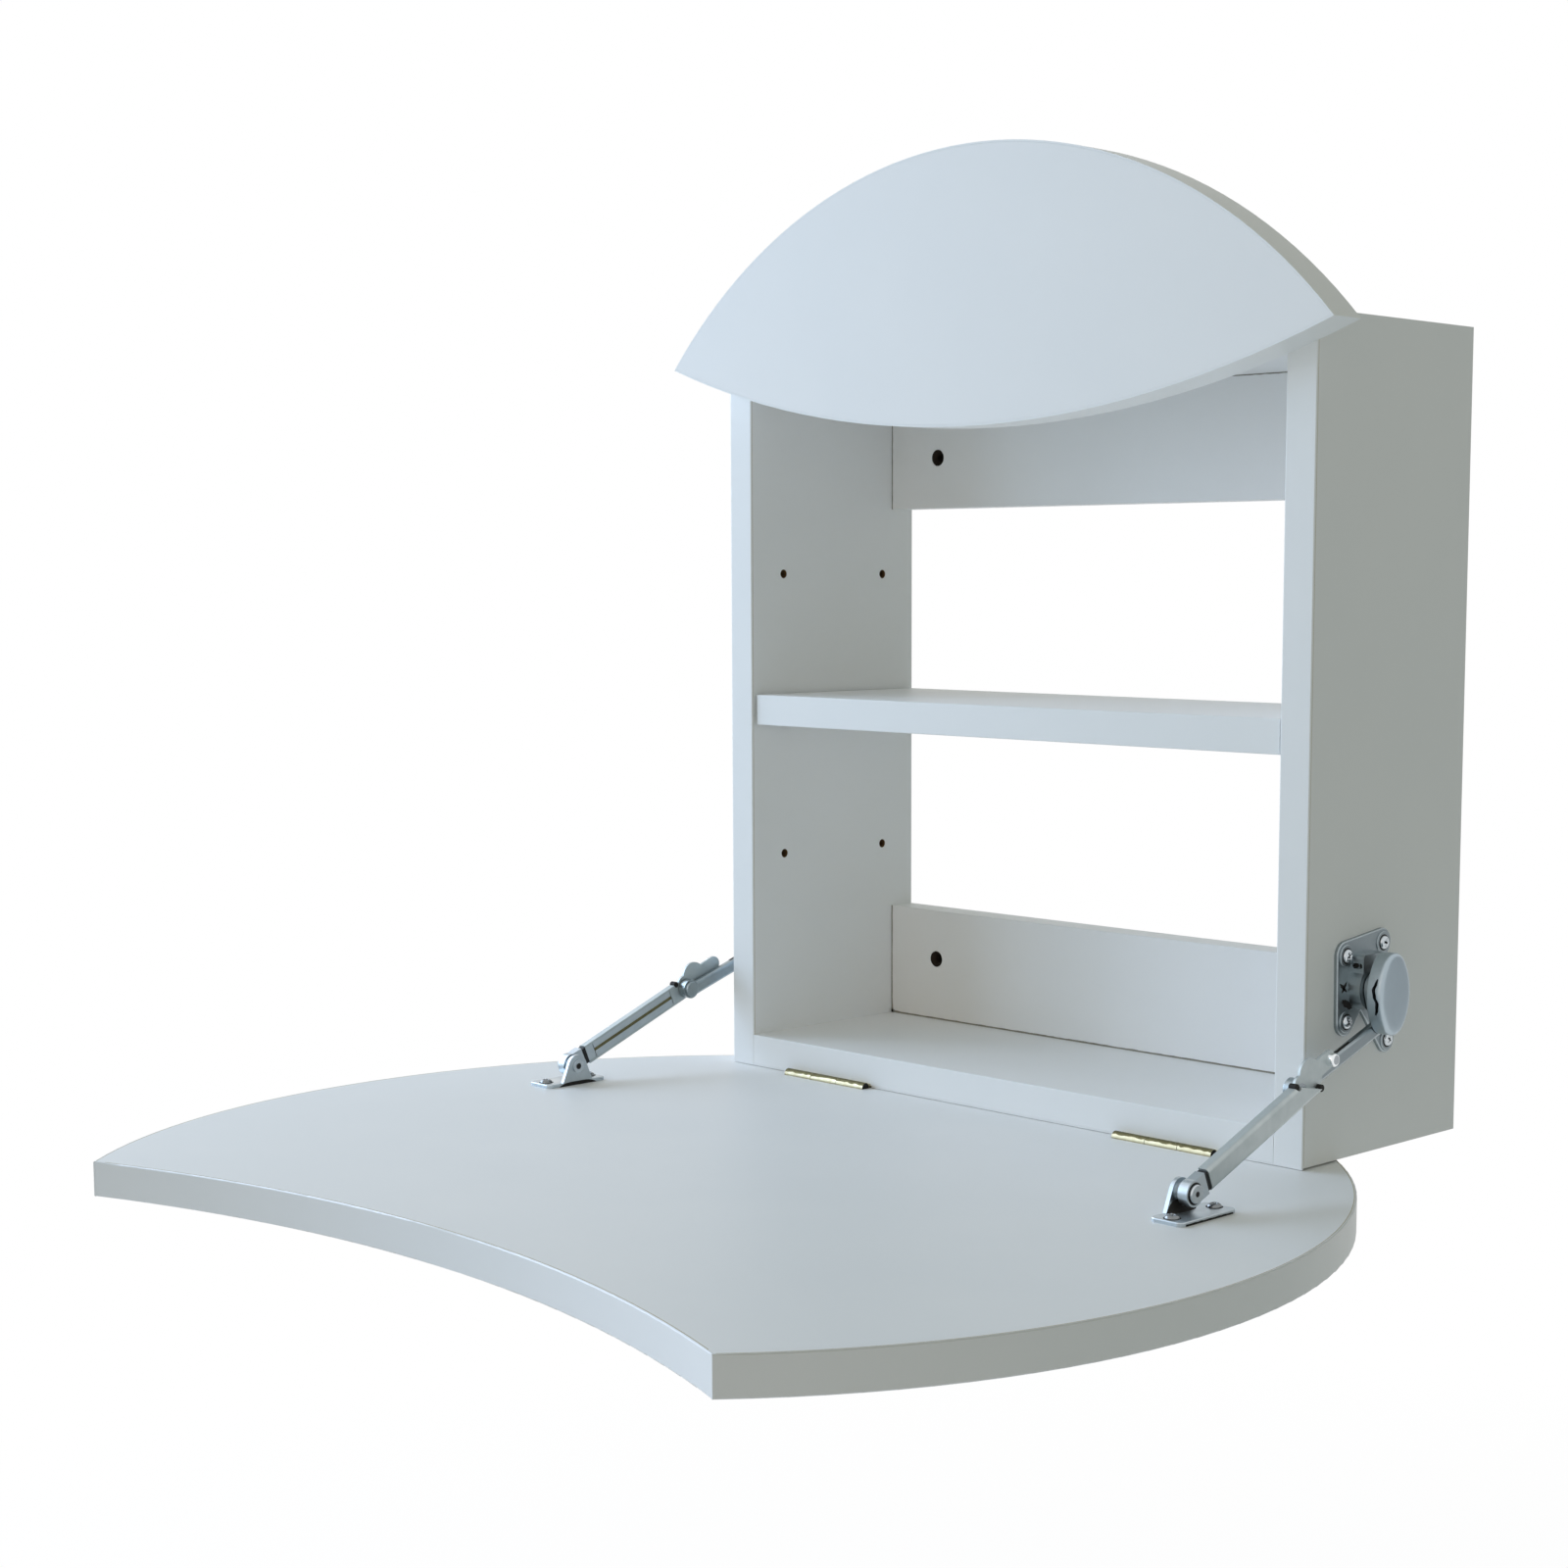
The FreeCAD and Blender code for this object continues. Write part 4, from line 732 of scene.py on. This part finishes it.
# dark discs painted as shade at the open ends of the hinge barrels, hollow in the middle
hingeEnd = {"half": 31.0, "radius": 2.5, "rimRadius": 2.6, "flat": 0.7, "middleUp": 0.03, "flatUp": 0.04,
            "edgeUp": 0.07, "rimUp": 0.02, "sunk": 0.1, "segments": 32, "seed": 17}
endBuild = bmesh.new()
lathe(endBuild, [(0, hingeEnd["middleUp"]), (hingeEnd["radius"] * hingeEnd["flat"], hingeEnd["flatUp"]),
                 (hingeEnd["radius"], hingeEnd["edgeUp"]), (hingeEnd["rimRadius"], hingeEnd["rimUp"]),
                 (hingeEnd["rimRadius"], -hingeEnd["sunk"]), (0, -hingeEnd["sunk"])], hingeEnd["segments"])
endPlaces = [(side * hingeShadeSkin["centreX"] + end * hingeEnd["half"], hingeShadeSkin["y"], hingeShadeSkin["z"])
             for side in (-1, 1) for end in (-1, 1)]
hingeEnds = repeatPiece("hingeEndGrease", finishMesh("hingeEndSource", endBuild, paintedShadeBlack), endPlaces,
                        [(-1, 0, 0), (1, 0, 0)] * 2, hingeEnd["seed"], paintedShadeBlack)
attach(hingeEnds, "cabinet")

# lip of the band under the cabinet's front edge, left a little long beside and between the hinges
bandLip = {"y": -129.97, "depth": 0.85, "top": -199.9, "foot": -200.8, "round": 0.18, "stepMm": 4.0, "waverMm": 0.05,
           "spans": ((-199.9, -151.4), (-87.6, 87.6), (151.4, 199.9))}
lipBuild = bmesh.new()
lipFront, lipBack = bandLip["y"], bandLip["y"] + bandLip["depth"]
for start, end in bandLip["spans"]:
    lipRows = []
    lipSteps = int((end - start) / bandLip["stepMm"])
    for step in range(lipSteps + 1):
        foot = bandLip["foot"] + waver.random() * bandLip["waverMm"]
        lipRows.append([Vector((start + (end - start) * step / lipSteps, *corner)) for corner in
                        ((lipFront, bandLip["top"]), (lipFront, foot + bandLip["round"]),
                         (lipFront + bandLip["round"], foot), (lipBack - bandLip["round"], foot),
                         (lipBack, foot + bandLip["round"]), (lipBack, bandLip["top"]))])
    addBar(lipBuild, lipRows)
lip = buildPiece("bandLip", lipBuild, whiteBand)
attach(lip, "cabinet")
print("hinge details and band lip made")

# hairlines at the butt joints of the rails and panels, wider where an edge has chipped
jointLine = {"proudMm": 0.04, "sunkMm": 0.3, "stepMm": 3.0, "wanderMm": 0.14, "swellMm": 2.5, "outwards": (0, -1, 0),
             # start, end, across, width in mm, swelling at the start in mm
             "runs": (((-183, -17, -183), (-183, -17, -118), (1, 0, 0), 0.9, 1.0),
                      ((-183, -17, -183), (183, -17, -183), (0, 0, 1), 0.95, 1.2),
                      ((183, -17, -183), (183, -17, -118), (-1, 0, 0), 0.4, 0.2),
                      ((-183, -17, 118), (-183, -17, 183), (1, 0, 0), 0.65, 0.1),
                      ((183, -17, 118), (183, -17, 183), (-1, 0, 0), 0.4, 0.1),
                      ((-183, -17, 183), (183, -17, 183), (0, 0, -1), 0.6, 0.3))}
wander = random.Random(23)
jointBuild = bmesh.new()
for start, end, across, width, swelling in jointLine["runs"]:
    a, b = Vector(start), Vector(end)
    count = int((b - a).length / jointLine["stepMm"])
    pairs = []
    for step in range(count + 1):
        swell = swelling * math.exp(-step * jointLine["stepMm"] / jointLine["swellMm"])
        spread = width + swell + wander.uniform(-1, 1) * jointLine["wanderMm"]
        point = a.lerp(b, step / count)
        pairs.append((point, point + Vector(across) * spread))
    addRibbon(jointBuild, pairs, jointLine["outwards"], jointLine["proudMm"], jointLine["sunkMm"])
jointLines = buildPiece("boardJointLines", jointBuild, jointShade)
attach(jointLines, "cabinet")

# hot-melt glue lines between the boards and their bands, on the leaf's faces and along the sides
glueRun = {"proudMm": 0.03, "sunkMm": 0.2, "leafMm": 0.42, "sideMm": 0.22, "stepDeg": 1.5,
           # height and outward direction of the leaf's faces; centre, radius and span in degrees of its edges
           "leafFaces": ((-201, (0, 0, 1)), (-218, (0, 0, -1))),
           "leafArcs": (((0, -323.5), 299.05, (-41.6, 221.6)), ((0, -1132), 649.3, (70.4, 109.6))),
           # distance from the middle and outward direction of the faces of the sides
           "sideFaces": ((200, 1), (183, -1)), "sideY": -129.05, "sideZs": range(-199, 200, 2)}


def arcPairs(centre, radius, fromDeg, toDeg, z):
    count = int(abs(toDeg - fromDeg) / glueRun["stepDeg"])
    pairs = []
    for step in range(count + 1):
        angle = math.radians(fromDeg + (toDeg - fromDeg) * step / count)
        pairs.append([Vector((centre[0] + r * math.cos(angle), centre[1] + r * math.sin(angle), z))
                      for r in (radius, radius - glueRun["leafMm"])])
    return pairs


leafGlue, sideGlue = bmesh.new(), bmesh.new()
for z, outwards in glueRun["leafFaces"]:
    for centre, radius, span in glueRun["leafArcs"]:
        addRibbon(leafGlue, arcPairs(centre, radius, *span, z), outwards, glueRun["proudMm"], glueRun["sunkMm"])
for side in (-1, 1):
    for x, facing in glueRun["sideFaces"]:
        pairs = [[Vector((x * side, y, z)) for y in (glueRun["sideY"], glueRun["sideY"] + glueRun["sideMm"])]
                 for z in glueRun["sideZs"]]
        addRibbon(sideGlue, pairs, (facing * side, 0, 0), glueRun["proudMm"], glueRun["sunkMm"])
for name, build, body in (("leafGlueLines", leafGlue, "leaf"), ("cabinetGlueLines", sideGlue, "cabinet")):
    glued = buildPiece(name, build, glueLine)
    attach(glued, body)
print("joint and glue lines made")

# camera: fitted to the outline of the object in the photograph
shot = {"lensMm": 60.315, "sensorMm": 36.0, "shift": (-0.0533, 0.0587), "place": (0.91604, -1.13747, 0.07799),
        "azimuth": 44.973, "elevation": 6.484, "clipStart": 0.05}
cameraData = bpy.data.cameras.new("shotCamera")
cameraData.lens = shot["lensMm"]
cameraData.sensor_width = shot["sensorMm"]
cameraData.shift_x, cameraData.shift_y = shot["shift"]
cameraData.clip_start = shot["clipStart"]
camera = addObject("shotCamera", cameraData)
azimuth, elevation = math.radians(shot["azimuth"]), math.radians(shot["elevation"])
lookAlong = Vector((-math.sin(azimuth) * math.cos(elevation), math.cos(azimuth) * math.cos(elevation),
                    -math.sin(elevation)))
camera.location = shot["place"]
camera.rotation_euler = lookAlong.to_track_quat("-Z", "Y").to_euler()
bpy.context.scene.camera = camera

# soft boxes: a strong cool one on the left, a weaker cool one nearer the front, a faint warm one in front
softBoxes = (
    {"name": "leftSoftBox", "place": (-2.8, -0.7, 0.9), "aim": (0, -0.2, 0), "size": 2.4, "watts": (52.0, 62.8, 81.4)},
    {"name": "sideSoftBox", "place": (-2.2, -2.1, 0.6), "aim": (0, -0.1, 0), "size": 1.8, "watts": (10.9, 15.8, 22.2)},
    {"name": "frontSoftBox", "place": (0.4, -2.7, 0.7), "aim": (0, -0.1, 0), "size": 2.0, "watts": (4.4, 3.1, 2.3)})
for box in softBoxes:
    lightData = bpy.data.lights.new(box["name"], "AREA")
    lightData.shape = "SQUARE"
    lightData.size = box["size"]
    lightData.energy = max(box["watts"])
    lightData.color = [watts / max(box["watts"]) for watts in box["watts"]]
    light = addObject(box["name"], lightData)
    light.location = box["place"]
    light.rotation_euler = (Vector(box["aim"]) - Vector(box["place"])).to_track_quat("-Z", "Y").to_euler()


def addSeen(tree, kinds):
    rays = addNode(tree, "ShaderNodeLightPath").outputs
    seen = rays[kinds[0]]
    for kind in kinds[1:]:
        seen = addNode(tree, "ShaderNodeMath", {0: seen, 1: rays[kind]}, operation="MAXIMUM").outputs[0]
    return seen


# room: plain grey as light, white as a backdrop
room = {"grey": (0.292, 0.318, 0.29, 1.0), "white": (1, 1, 1, 1)}
world = bpy.data.worlds.new("room")
bpy.context.scene.world = world
world.use_nodes = True
roomTree = world.node_tree
roomLight = roomTree.nodes["Background"]
roomLight.inputs["Color"].default_value = room["grey"]
backdrop = addNode(roomTree, "ShaderNodeBackground", {"Color": room["white"], "Strength": 1.0})
roomSeen = addSeen(roomTree, ("Is Camera Ray", "Is Glossy Ray", "Is Transmission Ray"))
split = addNode(roomTree, "ShaderNodeMixShader", {0: roomSeen, 1: roomLight.outputs[0], 2: backdrop.outputs[0]})
roomTree.links.new(split.outputs[0], roomTree.nodes["World Output"].inputs["Surface"])

# floor: matt white paint well below the desk, which melts into the backdrop away from it
paleFloor = {"drop": 0.95, "radius": 7.0, "segments": 96, "paint": "#f2f2f2", "rough": 0.8, "fadeFrom": 1.0,
             "fadeTo": 2.2, "nearShare": 0.94}
floorMesh = bpy.data.meshes.new("paleFloor")
floorBuild = bmesh.new()
bmesh.ops.create_circle(floorBuild, cap_ends=True, segments=paleFloor["segments"], radius=paleFloor["radius"])
floorBuild.to_mesh(floorMesh)
floorBuild.free()
floorMesh.transform(Matrix.Translation((0, 0, -paleFloor["drop"])))
floor = addObject("paleFloor", floorMesh)
floorPaint, floorTree, floorShader, floorCoords = newMaterial("whiteFloorPaint", Roughness=paleFloor["rough"],
                                                              Base_Color=srgb(paleFloor["paint"]))
floorGlow = addNode(floorTree, "ShaderNodeEmission", {"Color": room["white"], "Strength": 1.0})
floorSeen = addSeen(floorTree, ("Is Camera Ray", "Is Glossy Ray"))
floorReach = addNode(floorTree, "ShaderNodeVectorMath", {0: floorCoords}, operation="LENGTH")
floorFade = addNode(floorTree, "ShaderNodeMapRange", {
    "Value": floorReach.outputs["Value"], "From Min": paleFloor["fadeFrom"], "From Max": paleFloor["fadeTo"],
    "To Min": paleFloor["nearShare"], "To Max": 1.0})
floorShare = addNode(floorTree, "ShaderNodeMath", {0: floorSeen, 1: floorFade.outputs[0]}, operation="MULTIPLY")
floorMix = addNode(floorTree, "ShaderNodeMixShader", {0: floorShare.outputs[0], 1: floorShader.outputs[0],
                                                      2: floorGlow.outputs[0]})
floorTree.links.new(floorMix.outputs[0], floorTree.nodes["Material Output"].inputs["Surface"])
floorMesh.materials.append(floorPaint)

# grey foam card behind on the right, seen only as a soft reflection in the metal
darkCard = {"place": (1.35, 1.6, -0.2), "aim": (0.2, -0.1, -0.15), "size": 1.1, "tone": (0.4, 0.415, 0.43, 1.0)}
cardMesh = bpy.data.meshes.new("darkCard")
cardBuild = bmesh.new()
bmesh.ops.create_grid(cardBuild, x_segments=2, y_segments=2, size=darkCard["size"] / 2)
cardTurn = (Vector(darkCard["aim"]) - Vector(darkCard["place"])).to_track_quat("Z", "Y").to_matrix().to_4x4()
cardBuild.transform(Matrix.Translation(darkCard["place"]) @ cardTurn)
cardBuild.to_mesh(cardMesh)
cardBuild.free()
card = addObject("darkCard", cardMesh)
cardPaint, cardTree = newMaterial("greyFoamCard")[:2]
cardTone = addNode(cardTree, "ShaderNodeEmission", {"Color": darkCard["tone"], "Strength": 1.0})
cardTree.links.new(cardTone.outputs[0], cardTree.nodes["Material Output"].inputs["Surface"])
cardMesh.materials.append(cardPaint)
for ray in ("camera", "diffuse", "transmission", "volume_scatter", "shadow"):
    setattr(card, "visible_" + ray, False)
bpy.context.scene.view_settings.view_transform = "Standard"
print("camera, light and floor set")
